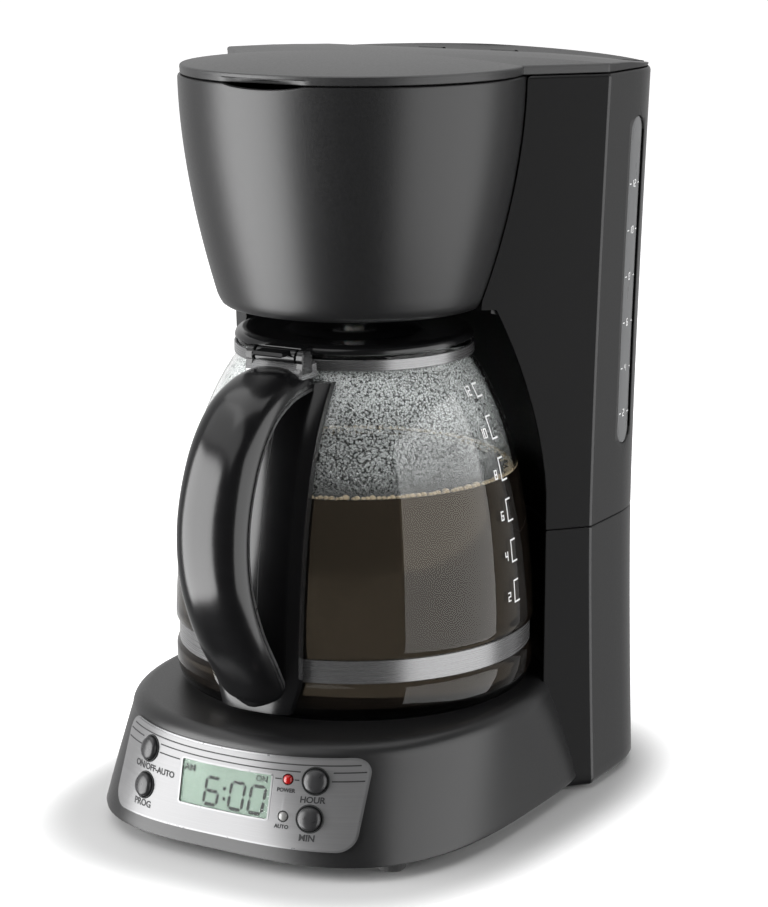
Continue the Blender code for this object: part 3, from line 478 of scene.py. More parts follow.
def grain(material, scale, colour_change=0.06, rough_change=0.05, bump=0.0, stretch=(1.0, 1.0, 1.0),
          detail=4.0, bump_distance=0.0002):
    """Fine variation of colour and roughness and a bump, all from object coordinates."""
    tree = material.node_tree
    shader = tree.nodes["Principled BSDF"]
    place = tree.nodes.new("ShaderNodeTexCoord")
    mapping = add(material, "ShaderNodeMapping", Scale=stretch)
    link(material, place.outputs["Object"], mapping.inputs["Vector"])
    noise = add(material, "ShaderNodeTexNoise", Scale=scale, Detail=detail, Roughness=0.6)
    link(material, mapping.outputs["Vector"], noise.inputs["Vector"])
    if colour_change:
        base = list(shader.inputs["Base Color"].default_value)
        ramp = tree.nodes.new("ShaderNodeValToRGB")
        ramp.color_ramp.elements[0].position = 0.3
        ramp.color_ramp.elements[1].position = 0.7
        ramp.color_ramp.elements[0].color = (*[c * (1 - colour_change) for c in base[:3]], 1.0)
        ramp.color_ramp.elements[1].color = (*[min(1.0, c * (1 + colour_change)) for c in base[:3]], 1.0)
        link(material, noise.outputs["Fac"], ramp.inputs["Fac"])
        link(material, ramp.outputs["Color"], shader.inputs["Base Color"])
    if rough_change:
        rough = shader.inputs["Roughness"].default_value
        spread = rescale(material, noise.outputs["Fac"], 0.25, 0.75, max(0.0, rough - rough_change),
                         min(1.0, rough + rough_change))
        link(material, spread, shader.inputs["Roughness"])
    if bump:
        relief = add(material, "ShaderNodeBump", Strength=bump, Distance=bump_distance)
        link(material, noise.outputs["Fac"], relief.inputs["Height"])
        link(material, relief.outputs["Normal"], shader.inputs["Normal"])
    return material


def see_through(material, colour=(1.0, 1.0, 1.0)):
    """Lets lamp light pass a clear material, so that what is behind it is lit."""
    tree = material.node_tree
    shader = tree.nodes["Principled BSDF"]
    output = tree.nodes["Material Output"]
    path = tree.nodes.new("ShaderNodeLightPath")
    clear = add(material, "ShaderNodeBsdfTransparent", Color=(*colour, 1.0))
    mix = tree.nodes.new("ShaderNodeMixShader")
    link(material, path.outputs["Is Shadow Ray"], mix.inputs["Fac"])
    link(material, shader.outputs["BSDF"], mix.inputs[1])
    link(material, clear.outputs["BSDF"], mix.inputs[2])
    link(material, mix.outputs["Shader"], output.inputs["Surface"])
    return material


CHARCOAL = grain(new_material("charcoal_plastic", (0.009, 0.009, 0.0094), 0.36), 900.0, 0.08, 0.04, 0.10)
# a lighter copy of the charcoal plastic: painted light that makes the lid and the rear deck lighter than the
# rest of the plastic
LID_PLASTIC_PAINTED_LIGHT = grain(new_material("lid_plastic_painted_light", (0.020, 0.020, 0.0205), 0.40), 900.0, 0.08, 0.04, 0.10)
# a darker, less shiny copy of the charcoal plastic: painted shade on the tower's slanted front faces and the
# bay behind the carafe, and the own colour of the inner CAD parts
INNER_PLASTIC_AND_FRONT_SHADE = grain(new_material("inner_plastic_and_painted_shade", (0.005, 0.005, 0.0053), 0.46), 700.0, 0.08, 0.05, 0.1)
adjust(INNER_PLASTIC_AND_FRONT_SHADE, Specular_IOR_Level=0.12)
GLOSS = grain(new_material("gloss_black_plastic", (0.005, 0.005, 0.0054), 0.20), 120.0, 0.1, 0.015)
STEEL = grain(new_material("brushed_steel", (0.17, 0.17, 0.172), 0.34, 0.42), 60.0, 0.07, 0.05, 0.04,
              stretch=(0.6, 0.6, 60.0), detail=6.0, bump_distance=0.00006)
BAND_STEEL = grain(new_material("band_steel", (0.21, 0.21, 0.212), 0.27, 0.75), 60.0, 0.10, 0.05, 0.05,
                   stretch=(0.6, 0.6, 60.0), detail=6.0, bump_distance=0.0001)
PLATE = grain(new_material("coated_plate", (0.016, 0.016, 0.016), 0.32), 500.0, 0.2, 0.08, 0.2)
RUBBER = grain(new_material("black_rubber", (0.018, 0.018, 0.018), 0.75), 400.0, 0.1, 0.05, 0.2)
ALUMINIUM = grain(new_material("cast_aluminium", (0.55, 0.55, 0.55), 0.45, 1.0), 600.0, 0.1, 0.08, 0.3)
SILICONE = grain(new_material("silicone", (0.70, 0.68, 0.64), 0.45, Subsurface_Weight=0.15), 90.0, 0.05, 0.05)
TANK = grain(new_material("tank_plastic", (0.20, 0.205, 0.21), 0.34), 200.0, 0.05, 0.05, 0.05)
WINDOW = grain(new_material("window_plastic", (0.16, 0.162, 0.165), 0.30), 120.0, 0.08, 0.06, 0.05,
               stretch=(1.0, 1.0, 0.2))
BOARD = grain(new_material("circuit_board", (0.03, 0.14, 0.06), 0.4), 300.0, 0.4, 0.08)
LCD = grain(new_material("lcd_face", (0.088, 0.122, 0.100), 0.5), 40.0, 0.05, 0.05)
INK_DARK = grain(new_material("dark_ink", (0.003, 0.004, 0.004), 0.7), 300.0, 0.1, 0.05)
INK_GREY = grain(new_material("grey_ink", (0.010, 0.010, 0.011), 0.7), 300.0, 0.1, 0.05)
INK_WHITE = grain(new_material("white_ink", (0.85, 0.85, 0.85), 0.5), 300.0, 0.04, 0.05)
RED = grain(new_material("red_lens", (0.30, 0.006, 0.005), 0.14, 0.0, Coat_Weight=0.3), 60.0, 0.15, 0.03)
CLEAR_LENS = grain(new_material("clear_lens", (0.20, 0.20, 0.195), 0.1, Coat_Weight=0.5), 60.0, 0.1, 0.03)
BUTTON = grain(new_material("button_plastic", (0.022, 0.022, 0.023), 0.30), 500.0, 0.08, 0.05, 0.08)
RIM = grain(new_material("bright_rim", (0.20, 0.20, 0.203), 0.3, 0.6), 300.0, 0.05, 0.05)

GLASS = new_material("carafe_clear_glass", (0.97, 0.985, 0.98), 0.0, 0.0, IOR=1.34)
adjust(GLASS, Transmission_Weight=1.0)
see_through(GLASS, (0.93, 0.94, 0.93))

LENS = new_material("lcd_lens", (0.95, 0.97, 0.95), 0.03, 0.0, IOR=1.06)
adjust(LENS, Transmission_Weight=1.0)
see_through(LENS, (0.95, 0.96, 0.95))

COFFEE = grain(new_material("black_coffee", (0.0035, 0.0026, 0.002), 0.06, 0.0, IOR=1.3), 30.0, 0.3, 0.0)
adjust(COFFEE, Specular_Tint=(1.0, 0.80, 0.56, 1.0))
FOAM = new_material("coffee_foam", (0.42, 0.34, 0.23), 0.12, 0.0, IOR=1.33)
adjust(FOAM, Transmission_Weight=0.45)
DROP = new_material("water_drops", (0.95, 0.96, 0.96), 0.02, 0.0, IOR=1.33)
adjust(DROP, Transmission_Weight=1.0)
see_through(DROP)


def misted_glass():
    """Beads of water so small that only their sparkle shows; clear between them and lower down."""
    made = new_material("mist", (0.42, 0.43, 0.43), 0.22)
    shader = made.node_tree.nodes["Principled BSDF"]
    place = add(made, "ShaderNodeTexCoord").outputs["Object"]
    beads = add(made, "ShaderNodeTexVoronoi", Scale=1100.0)
    patches = add(made, "ShaderNodeTexNoise", Scale=45.0, Detail=3.0)
    split = add(made, "ShaderNodeSeparateXYZ")
    for node in (beads, patches, split):
        link(made, place, node.inputs["Vector"])
    bead = rescale(made, beads.outputs["Distance"], 0.2, 0.75, 1.0, 0.0)
    height = rescale(made, split.outputs["Z"], (LEVEL_Z + 2.0) * MM, (NECK_LOW - 12.0) * MM, 0.05, 0.72)
    patchy = rescale(made, patches.outputs["Fac"], 0.3, 0.7, 0.6, 1.2)
    share = combine(made, "MULTIPLY", bead, height)
    link(made, combine(made, "MULTIPLY", share, patchy), shader.inputs["Alpha"])
    relief = add(made, "ShaderNodeBump", Strength=0.6, Distance=0.0006)
    relief.invert = True
    link(made, beads.outputs["Distance"], relief.inputs["Height"])
    link(made, relief.outputs["Normal"], shader.inputs["Normal"])
    return made


MIST = misted_glass()


# ---------------------------------------------------------------- base
def make_base():
    soft = 7.0
    rings = [skirt_ring(BASE_Z, 1.6), skirt_ring(BASE_Z + 0.5, 0.5), skirt_ring(BASE_Z + 1.6, 0.0)]
    rings += [skirt_ring(z, 0.0) for z in levels(BASE_Z + 4.0, DECK_Z - soft, 12)]
    for k in range(1, 11):
        angle = math.pi / 2 * k / 10
        rings.append(skirt_ring(DECK_Z - soft, soft * (1 - math.cos(angle)),
                                DECK_Z - soft + soft * math.sin(angle)))
    hole = [circle(PLATE_R + spare, DECK_Z - down, steps=SKIRT_TURN)
            for spare, down in ((1.5, 0.0), (0.9, 0.2), (0.4, 0.8), (0.4, WALL))]
    # each ring starts a step on, where the base's outline starts
    hole = [ring[1:] + ring[:1] for ring in hole]
    inner = [skirt_ring(DECK_Z - soft, soft, DECK_Z - WALL)]
    inner += [skirt_ring(z, WALL) for z in (DECK_Z - soft, 30.0, BASE_Z)]
    hoop("base_shell", rings + hole + inner, CHARCOAL, "housing", stands_for=("base_housing",))
    top = DECK_Z - 0.05
    rim = PLATE_R
    profile = above(top, [(0.6, -0.35), (rim - 13.0, -0.35), (rim - 11.6, -0.32), (rim - 10.6, -0.05),
                          (rim - 9.8, 0.0), (rim - 1.4, 0.0), (rim - 0.5, -0.3), (rim - 0.05, -1.0)])
    profile += above(DECK_Z, [(rim - 0.05, -3.2), (rim - 1.2, -3.2), (rim - 1.2, -1.6), (0.6, -1.6)])
    lathe("warming_plate_top", profile, PLATE, "housing", stands_for=("warming_plate",))


# ---------------------------------------------------------------- tower
def make_tower():
    top = SPLIT_Z - 0.3
    outer = [tower_ring(TOWER_BOTTOM, 2.4, edge=4.0), tower_ring(TOWER_BOTTOM + 0.8, 1.2),
             tower_ring(TOWER_BOTTOM + 3.0, 0.0)]
    outer += [tower_ring(z, 0.0) for z in levels(8.0, top - 1.2, 10)]
    outer += [tower_ring(top - 0.35, 0.12), tower_ring(top, 0.55)]
    inner = [tower_ring(top, WALL), tower_ring(60.0, WALL), tower_ring(TOWER_BOTTOM, WALL + 1.6)]
    shell = hoop("tower_shell", outer + inner, CHARCOAL, "housing", stands_for=("tower_housing",))
    darken_front(shell)


def darken_front(obj):
    """Painted shade: the slanted faces and the bay behind the carafe, picked by the way they face, get a
    darker, less shiny copy of the charcoal plastic.
    """
    mesh = obj.data
    mesh.materials.append(INNER_PLASTIC_AND_FRONT_SHADE)
    for face in mesh.polygons:
        normal = face.normal
        centre = face.center / MM
        if normal.y < -0.25 and abs(normal.z) < 0.6 and abs(centre.x) < corner_x(centre.z) - 1.2:
            face.material_index = 1


def make_reservoir():
    shelf = HOUSING_BOTTOM
    outer = [tower_ring(SPLIT_Z, 0.55), tower_ring(SPLIT_Z + 0.35, 0.12)]
    outer += [tower_ring(z, 0.0) for z in levels(SPLIT_Z + 1.2, shelf - 0.1, 12)]
    outer += [tower_ring(z, 0.0) for z in [shelf + 0.1] + levels(shelf + 4.0, RIM_Z - 1.6, 14)]
    for inset, drop in ((0.25, 0.8), (0.8, 0.15), (1.3, 0.0)):
        outer.append(tower_ring(RIM_Z, inset, RIM_Z - drop))
    inner = [tower_ring(RIM_Z, WALL, RIM_Z)]
    inner += [tower_ring(z, WALL) for z in levels(RIM_Z - 2.0, shelf + 0.1, 8)]
    inner += [tower_ring(shelf + 0.1, WALL, shelf - 1.9)]
    inner += [tower_ring(z, WALL) for z in levels(shelf - 4.0, SPLIT_Z, 6)]
    shell = hoop("reservoir_shell", outer + inner, CHARCOAL, "housing", stands_for=("reservoir_housing",))
    spare = 0.4
    cutter = window_cutter("window_cutter", WINDOW_HALF + spare, WINDOW_LOW - spare, WINDOW_HIGH + spare)
    cut = shell.modifiers.new("window", "BOOLEAN")
    cut.operation = "DIFFERENCE"
    cut.object = cutter
    cut.solver = "EXACT"
    shell.modifiers.move(len(shell.modifiers) - 1, 0)
    settle(shell)
    darken_front(shell)
    bpy.data.objects.remove(cutter, do_unlink=True)

    # the fixed deck behind the lid's hinge
    top = RIM_Z + LID_EDGE
    front = HINGE_Y + 6.0
    plans = ((RIM_Z - 2.0, 0.6), (top - 1.2, 0.6), (top - 0.4, 0.9), (top, 1.7))
    rings = []
    for z, inset in plans:
        plan = [(x, y) for x, y in rear_points(RIM_Z, inset, 399) if y > front]
        edge = wall_x(front, RIM_Z, 0.0) - inset
        outline = resample([(edge, front)] + plan + [(-edge, front)], 90)
        rings.append([(x, y, top_drop(x, y, z)) for x, y in outline])
    # the deck takes the lighter copy of the plastic, painted light
    form("rear_deck", rings, LID_PLASTIC_PAINTED_LIGHT, "housing")


def resample(points, count):
    """Even steps along an open line."""
    spots = [Vector(p) for p in points]
    lengths = [0.0]
    for a, b in zip(spots, spots[1:]):
        lengths.append(lengths[-1] + (b - a).length)
    out = []
    k = 0
    for i in range(count):
        want = lengths[-1] * i / (count - 1)
        while k < len(spots) - 2 and lengths[k + 1] < want:
            k += 1
        share = (want - lengths[k]) / max(lengths[k + 1] - lengths[k], 1e-9)
        out.append(tuple(spots[k].lerp(spots[k + 1], share)))
    return out


def settle(obj):
    """Apply the modifiers of a piece, so that its cutters can go."""
    graph = bpy.context.evaluated_depsgraph_get()
    made = bpy.data.meshes.new_from_object(obj.evaluated_get(graph))
    obj.modifiers.clear()
    obj.data = made


def slot_outline(half_width, low, high, steps=24):
    points = []
    for middle, start in ((high - half_width, 0.0), (low + half_width, math.pi)):
        for k in range(steps + 1):
            angle = start + math.pi * k / steps
            points.append((half_width * math.cos(angle), middle + half_width * math.sin(angle)))
    return points


WINDOW_Y = 77.0             # middle of the water gauge
WINDOW_LOW = 147.8
WINDOW_HIGH = 288.2
WINDOW_HALF = 6.5


def window_cutter(name, half_width, low, high):
    outline = slot_outline(half_width, low, high)
    verts, faces = loft([[(x, WINDOW_Y + across, z) for across, z in outline] for x in (80.0, 104.0)])
    return piece(name, verts, faces, CHARCOAL, None, weighted=False)


def wall_x(y, z, inset):
    """The side wall's half width at a place behind the straight part."""
    wide = corner_x(z) - inset
    deep = REAR_Y - SIDE_END_Y - inset
    along = max(y - SIDE_END_Y, 0.0) / deep
    return wide * (1.0 - along ** REAR_POWER) ** (1.0 / REAR_POWER)


def make_window():
    """The translucent gauge: a strip with round ends that follows the side wall."""
    low, high, half = WINDOW_LOW, WINDOW_HIGH, WINDOW_HALF
    columns = 12
    heights = [low + half * (1 - math.cos(math.pi / 2 * k / 8)) for k in range(1, 9)]
    heights += levels(low + half, high - half, 28)[1:-1]
    heights += [high - half * (1 - math.cos(math.pi / 2 * k / 8)) for k in range(8, 0, -1)]
    verts = []
    faces = []
    width = columns + 1
    for side, depth in enumerate((0.5, 2.1)):
        for z in heights:
            off = max(low + half - z, z - (high - half), 0.0)
            reach = math.sqrt(half * half - off * off)
            for k in range(width):
                across = reach * (2.0 * k / columns - 1.0)
                dip = 0.35 * abs(2.0 * k / columns - 1.0) ** 8 if side == 0 else 0.0
                y = WINDOW_Y + across
                verts.append((wall_x(y, z, depth + dip), y, z))
    layer = len(heights) * width
    for row in range(len(heights) - 1):
        for k in range(columns):
            a = row * width + k
            faces.append((a, a + 1, a + width + 1, a + width))
            faces.append((layer + a, layer + a + width, layer + a + width + 1, layer + a + 1))
        for k in (0, columns):
            a = row * width + k
            faces.append((a, a + width, layer + a + width, layer + a))
    for row in (0, len(heights) - 1):
        for k in range(columns):
            a = row * width + k
            faces.append((a, layer + a, layer + a + 1, a + 1))
    piece("water_gauge", verts, faces, WINDOW, "housing", stands_for=("water_window",))


# ---------------------------------------------------------------- housing and lid
def make_housing():
    foot = HOUSING_BOTTOM
    outer = [(12.0, foot), (52.0, foot), (53.8, foot + 0.35), (55.2, foot + 1.3), (56.1, foot + 2.8)]
    outer += [(housing_radius(z), z) for z in levels(foot + 5.0, RIM_Z - 1.0, 22)]
    outer += [(HOUSING_R - 0.25, RIM_Z - 0.3), (HOUSING_R - 0.8, RIM_Z)]
    inner = [(HOUSING_R - WALL, RIM_Z)]
    inner += [(housing_radius(z) - WALL, z) for z in levels(RIM_Z - 1.0, foot + 5.0, 10)]
    inner += [(53.0, foot + WALL), (12.0, foot + WALL)]
    rings = [circle(r, z, steps=288) for r, z in outer + inner]
    for ring in rings:
        for k, (x, y, z) in enumerate(ring):
            if z > RIM_Z - 1.1:
                ring[k] = (x, y, z - FINGER_DIP * finger_notch(math.atan2(y, x)))
    hoop("housing_shell", rings, CHARCOAL, "housing", stands_for=("basket_housing",))


FINGER_DIP = 1.5
FINGER_SPAN = math.radians(14.5)


def finger_notch(angle):
    """How deep the finger notch is at an angle: one at the front and zero away from it."""
    off = abs(angle + math.pi / 2)
    return max(0.0, 1.0 - (off / FINGER_SPAN) ** 2) ** 0.7


def top_drop(x, y, z):
    """The top falls away towards its rear corners."""
    back = min(max((y - 52.0) / 50.0, 0.0), 1.0)
    share = min(max((z - RIM_Z - 0.4) / (LID_EDGE - 0.4), 0.0), 1.0)
    return z - 3.0 * share * back * back * (3 - 2 * back) * min(abs(x) / 80.0, 1.0) ** 1.6


def lid_ring(inset, z, scale=1.0, scoop=0.0):
    middle_y = 25.0             # the lid's rings shrink towards here
    rho = HOUSING_R - inset
    corner, tip = facet_end(RIM_Z, inset, rho)
    start = math.atan2(tip.y, tip.x)
    points = []
    steps = 120
    for k in range(steps + 1):
        angle = -math.pi - start + (math.pi + 2 * start) * k / steps
        cut = scoop * finger_notch(angle)
        points.append(Vector(((rho - cut) * math.cos(angle), (rho - cut) * math.sin(angle))))
    edge_y = HINGE_Y + 0.1 - inset
    right = fillet(tip, corner, Vector((corner.x, SIDE_END_Y)), 2.2, 5)
    right += [Vector((wall_x(y, RIM_Z, inset), y)) for y in levels(SIDE_END_Y, edge_y, 10)]
    left = [Vector((-p.x, p.y)) for p in reversed(right)]
    outline = points + right + left
    flat = [(p.x * scale, middle_y + (p.y - middle_y) * scale) for p in outline]
    return [(x, y, top_drop(x, y, z)) for x, y in flat]


def make_lid():
    low = RIM_Z + 0.4
    high = RIM_Z + LID_EDGE
    crown = LID_TOP - high
    under = [lid_ring(4.6, high - 2.0, 0.2), lid_ring(4.6, high - 2.2, 0.6), lid_ring(4.6, high - 2.6),
             lid_ring(4.6, low + 0.2, scoop=2.0), lid_ring(2.6, low, scoop=4.0),
             lid_ring(1.4, low, scoop=4.4)]
    edge = [lid_ring(1.05, low + 0.35, scoop=4.4), lid_ring(1.0, high - 2.0, scoop=4.0),
            lid_ring(1.0, high - 1.7, scoop=0.6), lid_ring(0.9, high - 1.5), lid_ring(0.9, high - 0.9),
            lid_ring(1.05, high - 0.4), lid_ring(1.5, high - 0.06), lid_ring(2.1, high + 0.02)]
    top = []
    for scale in (0.985, 0.96, 0.92, 0.85, 0.75, 0.62, 0.48, 0.33, 0.18, 0.06):
        top.append(lid_ring(2.1, high + crown * (1.0 - scale ** 2.4), scale))
    # the lid takes the lighter copy of the plastic, painted light
    form("lid_shell", under + edge + top, LID_PLASTIC_PAINTED_LIGHT, "top_lid", stands_for=("top_lid",))
    barrel = [(1.9, 0.0), (3.2, 0.0), (3.3, 0.3), (3.3, 11.7), (3.2, 12.0), (1.9, 12.0)]
    for side in (-1, 1):
        spindle("lid_knuckle_%d" % (side + 1), barrel, (side * 18.0 - 6.0, HINGE_Y, RIM_Z + 0.6), (1, 0, 0),
                CHARCOAL, "top_lid", steps=32, closed=True)


# ---------------------------------------------------------------- carafe
def make_carafe():
    foot = CARAFE_FOOT
    low, high = BAND_LOW, BAND_HIGH
    outer = above(foot, [(0.5, 2.4), (50.0, 1.7), (62.0, 0.9), (67.0, 0.25), (69.5, 0.02), (71.6, 0.35),
                         (73.6, 1.6), (75.0, 3.6), (75.9, 6.6), (76.2, 10.0)])
    outer += above(low, [(76.2, -2.6), (75.9, -1.4), (74.6, -0.5), (74.1, 0.3)])
    outer += above(high, [(74.1, -0.2), (74.6, 0.2), (75.6, 0.5)])
    outer += [(glass_radius(z), z) for z in levels(SHOULDER_Z + 0.6, NECK_Z, 36)]
    outer += [(NECK_R, NECK_Z + 2.0)]
    outer += above(MOUTH_Z, [(NECK_R, -0.9), (NECK_R - 0.4, -0.1), (NECK_R - 1.1, 0.0), (NECK_R - 1.9, -0.2),
                             (NECK_R - GLASS_WALL, -1.0)])
    inner = [(glass_radius(z) - GLASS_WALL, z) for z in levels(NECK_Z, SHOULDER_Z + 3.0, 30)]
    inner += [(GLASS_R - 4.0, BAND_HIGH), (GLASS_R - 4.2, BAND_LOW), (GLASS_R - 3.6, BAND_LOW - 3.0)]
    inner += above(foot, [(GLASS_R - 3.6, 9.0), (GLASS_R - 5.0, 6.0), (GLASS_R - 8.0, 4.4), (50.0, 4.2),
                          (0.5, 4.6)])
    lathe("carafe_bowl", outer + inner, GLASS, "carafe", steps=192, stands_for=("carafe_glass",), sharp=0,
          weighted=False)
    for name, stands_for, r0, r1, z0, z1 in (("carafe_ring", "carafe_band", 74.3, 75.0, low, high),
                                             ("neck_ring", "neck_band", 49.2, 50.3, NECK_LOW, NECK_HIGH)):
        band = [(r0, z0 + 0.3), (r0, z0), (r1, z0), (r1, z1), (r0, z1), (r0, z1 - 0.3)]
        lathe(name, rounded(band, 0.25, 3), BAND_STEEL, "carafe", steps=192, closed=True,
              stands_for=(stands_for,))

    # the coffee meets the glass a little inside it, so that no film of air shows between them
    skin = 0.12
    body = [(0.6, foot + 4.5)]
    body += [(r + skin, z - 0.05) for r, z in reversed(inner[:-1]) if z < LEVEL_Z - 3.0]
    level_r = glass_radius(LEVEL_Z) - GLASS_WALL
    body += [(level_r + skin, LEVEL_Z + 0.5), (level_r - 0.6, LEVEL_Z + 0.1), (level_r - 1.8, LEVEL_Z),
             (level_r * 0.6, LEVEL_Z - 0.05), (0.6, LEVEL_Z - 0.05)]
    lathe("coffee", body, COFFEE, "carafe", steps=192)
    make_foam(level_r)
    make_fog()
    make_drops()
    make_marks()


def blob(centre, radius, out, flat, verts, faces, rows, columns):
    """A small dome that sits on a wall: flat towards the wall and round away from it."""
    turn = aim(centre, out)
    start = len(verts)
    for k in range(rows):
        angle = math.pi / 2 * k / rows
        ring_r = radius * math.cos(angle)
        height = radius * flat * math.sin(angle)
        for i in range(columns):
            around = 2.0 * math.pi * (i + 0.5 * (k % 2)) / columns
            verts.append(tuple(turn @ Vector((ring_r * math.cos(around), ring_r * math.sin(around), height))))
    verts.append(tuple(turn @ Vector((0.0, 0.0, radius * flat))))
    verts.append(tuple(turn @ Vector((0.0, 0.0, -0.05))))
    tip = len(verts) - 2
    for k in range(rows - 1):
        for i in range(columns):
            j = (i + 1) % columns
            faces.append((start + k * columns + i, start + k * columns + j,
                          start + (k + 1) * columns + j, start + (k + 1) * columns + i))
    for i in range(columns):
        j = (i + 1) % columns
        faces.append((start + (rows - 1) * columns + i, start + (rows - 1) * columns + j, tip))
        faces.append((start + j, start + i, tip + 1))


def wall_normal(z, angle):
    """The way the glass faces at a height and angle."""
    slope = glass_radius(z + 0.5) - glass_radius(z - 0.5)
    return Vector((math.cos(angle), math.sin(angle), -slope)).normalized()


def make_drops():
    """Condensation on the inside of the glass above the coffee."""
    rng = random.Random(12)
    verts = []
    faces = []
    cell = 1.5
    z = LEVEL_Z + 8.0
    while z < NECK_LOW - 1.0:
        share = (z - LEVEL_Z) / (NECK_LOW - LEVEL_Z)
        radius = glass_radius(z) - GLASS_WALL - 0.02
        count = int(2 * math.pi * radius / cell)
        for k in range(count):
            if rng.random() > 0.2 + 0.4 * share:
                continue
            angle = 2 * math.pi * (k + rng.random() * 0.8) / count
            height = z + rng.uniform(-0.8, 0.8)
            inner = glass_radius(height) - GLASS_WALL - 0.02
            spot = (inner * math.cos(angle), inner * math.sin(angle), height)
            size = rng.uniform(0.26, 0.5) * (0.6 + 0.45 * share)
            if rng.random() < 0.05:
                size *= 1.7
            blob(spot, size, -wall_normal(height, angle), 0.55, verts, faces, rows=2, columns=6)
        z += cell * 0.8
    piece("condensation", verts, faces, DROP, "carafe", sharp=0, weighted=False)


def make_fog():
    """A thin film of mist on the inside of the glass, beaded and thicker towards the neck."""
    heights = levels(LEVEL_Z + 1.6, NECK_LOW + 0.6, 26)
    profile = [(glass_radius(z) - GLASS_WALL - 0.10, z) for z in heights]
    profile += [(glass_radius(z) - GLASS_WALL - 0.16, z) for z in reversed(heights)]
    lathe("mist", profile, MIST, "carafe", steps=160, closed=True, sharp=0, weighted=False)


def make_foam(level_r):
    """A ring of small bubbles where the coffee meets the glass."""
    rng = random.Random(5)
    verts = []
    faces = []
    angle = 0.0
    while angle < 2 * math.pi:
        size = rng.uniform(0.8, 1.8)
        radius = level_r - size * 0.9
        spot = (radius * math.cos(angle), radius * math.sin(angle), LEVEL_Z + 0.7)
        blob(spot, size, Vector((0.0, 0.0, 1.0)), 0.95, verts, faces, rows=4, columns=10)
        if rng.random() < 0.5:
            radius -= size + rng.uniform(0.6, 1.4)
            small = rng.uniform(0.4, 0.9)
            turn = angle + rng.uniform(-0.012, 0.012)
            blob((radius * math.cos(turn), radius * math.sin(turn), LEVEL_Z + 0.05), small,
                 Vector((0.0, 0.0, 1.0)), 0.9, verts, faces, rows=3, columns=8)
        angle += size * 1.75 / level_r
    piece("bubbles", verts, faces, FOAM, "carafe", sharp=0, weighted=False)


# the strokes of the seven-segment figures that are used
SEGMENTS = {"0": "abcdef", "1": "bc", "2": "abged", "4": "fgbc", "6": "afgedc", "8": "abcdefg"}


def digit_strokes(text, width, height, space):
    """Straight strokes of seven-segment figures, as ((x, y), (x, y)) from the text's left foot."""
    half = height / 2
    lines = {"a": ((0, height), (width, height)), "b": ((width, height), (width, half)),
             "c": ((width, half), (width, 0)), "d": ((0, 0), (width, 0)), "e": ((0, 0), (0, half)),
             "f": ((0, half), (0, height)), "g": ((0, half), (width, half))}
    strokes = []
    left = 0.0
    for figure in text:
        for name in SEGMENTS[figure]:
            (x0, y0), (x1, y1) = lines[name]
            strokes.append(((left + x0, y0), (left + x1, y1)))
        left += width + space
    return strokes


def stroke_shape(start, end, thick, trim=0.0, pointed=False):
    """A straight stroke as an outline, its ends cut back by trim."""
    a = Vector(start)
    b = Vector(end)
    along = (b - a).normalized()
    side = Vector((-along.y, along.x)) * thick / 2
    a = a + along * trim
    b = b - along * trim
    if pointed:
        nose = along * thick / 2
        return [tuple(a), tuple(a + nose - side), tuple(b - nose - side), tuple(b), tuple(b - nose + side),
                tuple(a + nose + side)]
    return [tuple(a - side), tuple(b - side), tuple(b + side), tuple(a + side)]


def glass_stroke(start, end, thick, centre_angle, verts, faces):
    """A printed stroke on the outside of the glass, from (across, z) points."""
    a = Vector(start)
    b = Vector(end)
    along = (b - a).normalized()
    side = Vector((-along.y, along.x)) * thick / 2
    a -= along * thick / 2
    b += along * thick / 2
    steps = max(1, int((b - a).length / 1.5))
    first = len(verts)
    for depth in (0.03, 0.09):
        for k in range(steps + 1):
            for way in (-1, 1):
                spot = a.lerp(b, k / steps) + side * way
                radius = glass_radius(spot.y) + depth
                angle = centre_angle + spot.x / radius
                verts.append((radius * math.cos(angle), radius * math.sin(angle), spot.y))
    layer = 2 * (steps + 1)
    for k in range(steps):
        low = first + 2 * k
        faces.append((low, low + 1, low + 3, low + 2))
        faces.append((low + layer, low + layer + 2, low + layer + 3, low + layer + 1))
        faces.append((low, low + 2, low + 2 + layer, low + layer))
        faces.append((low + 1, low + 1 + layer, low + 3 + layer, low + 3))
    faces.append((first, first + layer, first + layer + 1, first + 1))
    last = first + 2 * steps
    faces.append((last, last + 1, last + 1 + layer, last + layer))


MARK_ANGLE = math.radians(1.8)       # where the cup marks run up the glass


def make_marks():
    """Printed cup marks: a bracket and a figure for every second cup."""
    verts = []
    faces = []
    for cup in range(2, 13, 2):
        z = 93.0 + 17.0 * (cup - 2) / 2
        rise = 9.0 if cup < 12 else 5.0
        for a, b in (((0.0, z), (4.4, z)), ((0.0, z), (0.0, z + rise)), ((0.0, z + rise), (3.6, z + rise))):
            glass_stroke(a, b, 0.7, MARK_ANGLE, verts, faces)
        text = str(cup)
        for (x0, y0), (x1, y1) in digit_strokes(text, 1.7, 3.4, 1.1):
            left = -2.4 - 2.8 * len(text)
            glass_stroke((left + x0, z + 1.4 + y0), (left + x1, z + 1.4 + y1), 0.55, MARK_ANGLE, verts, faces)
    piece("cup_marks", verts, faces, INK_WHITE, "carafe", weighted=False)


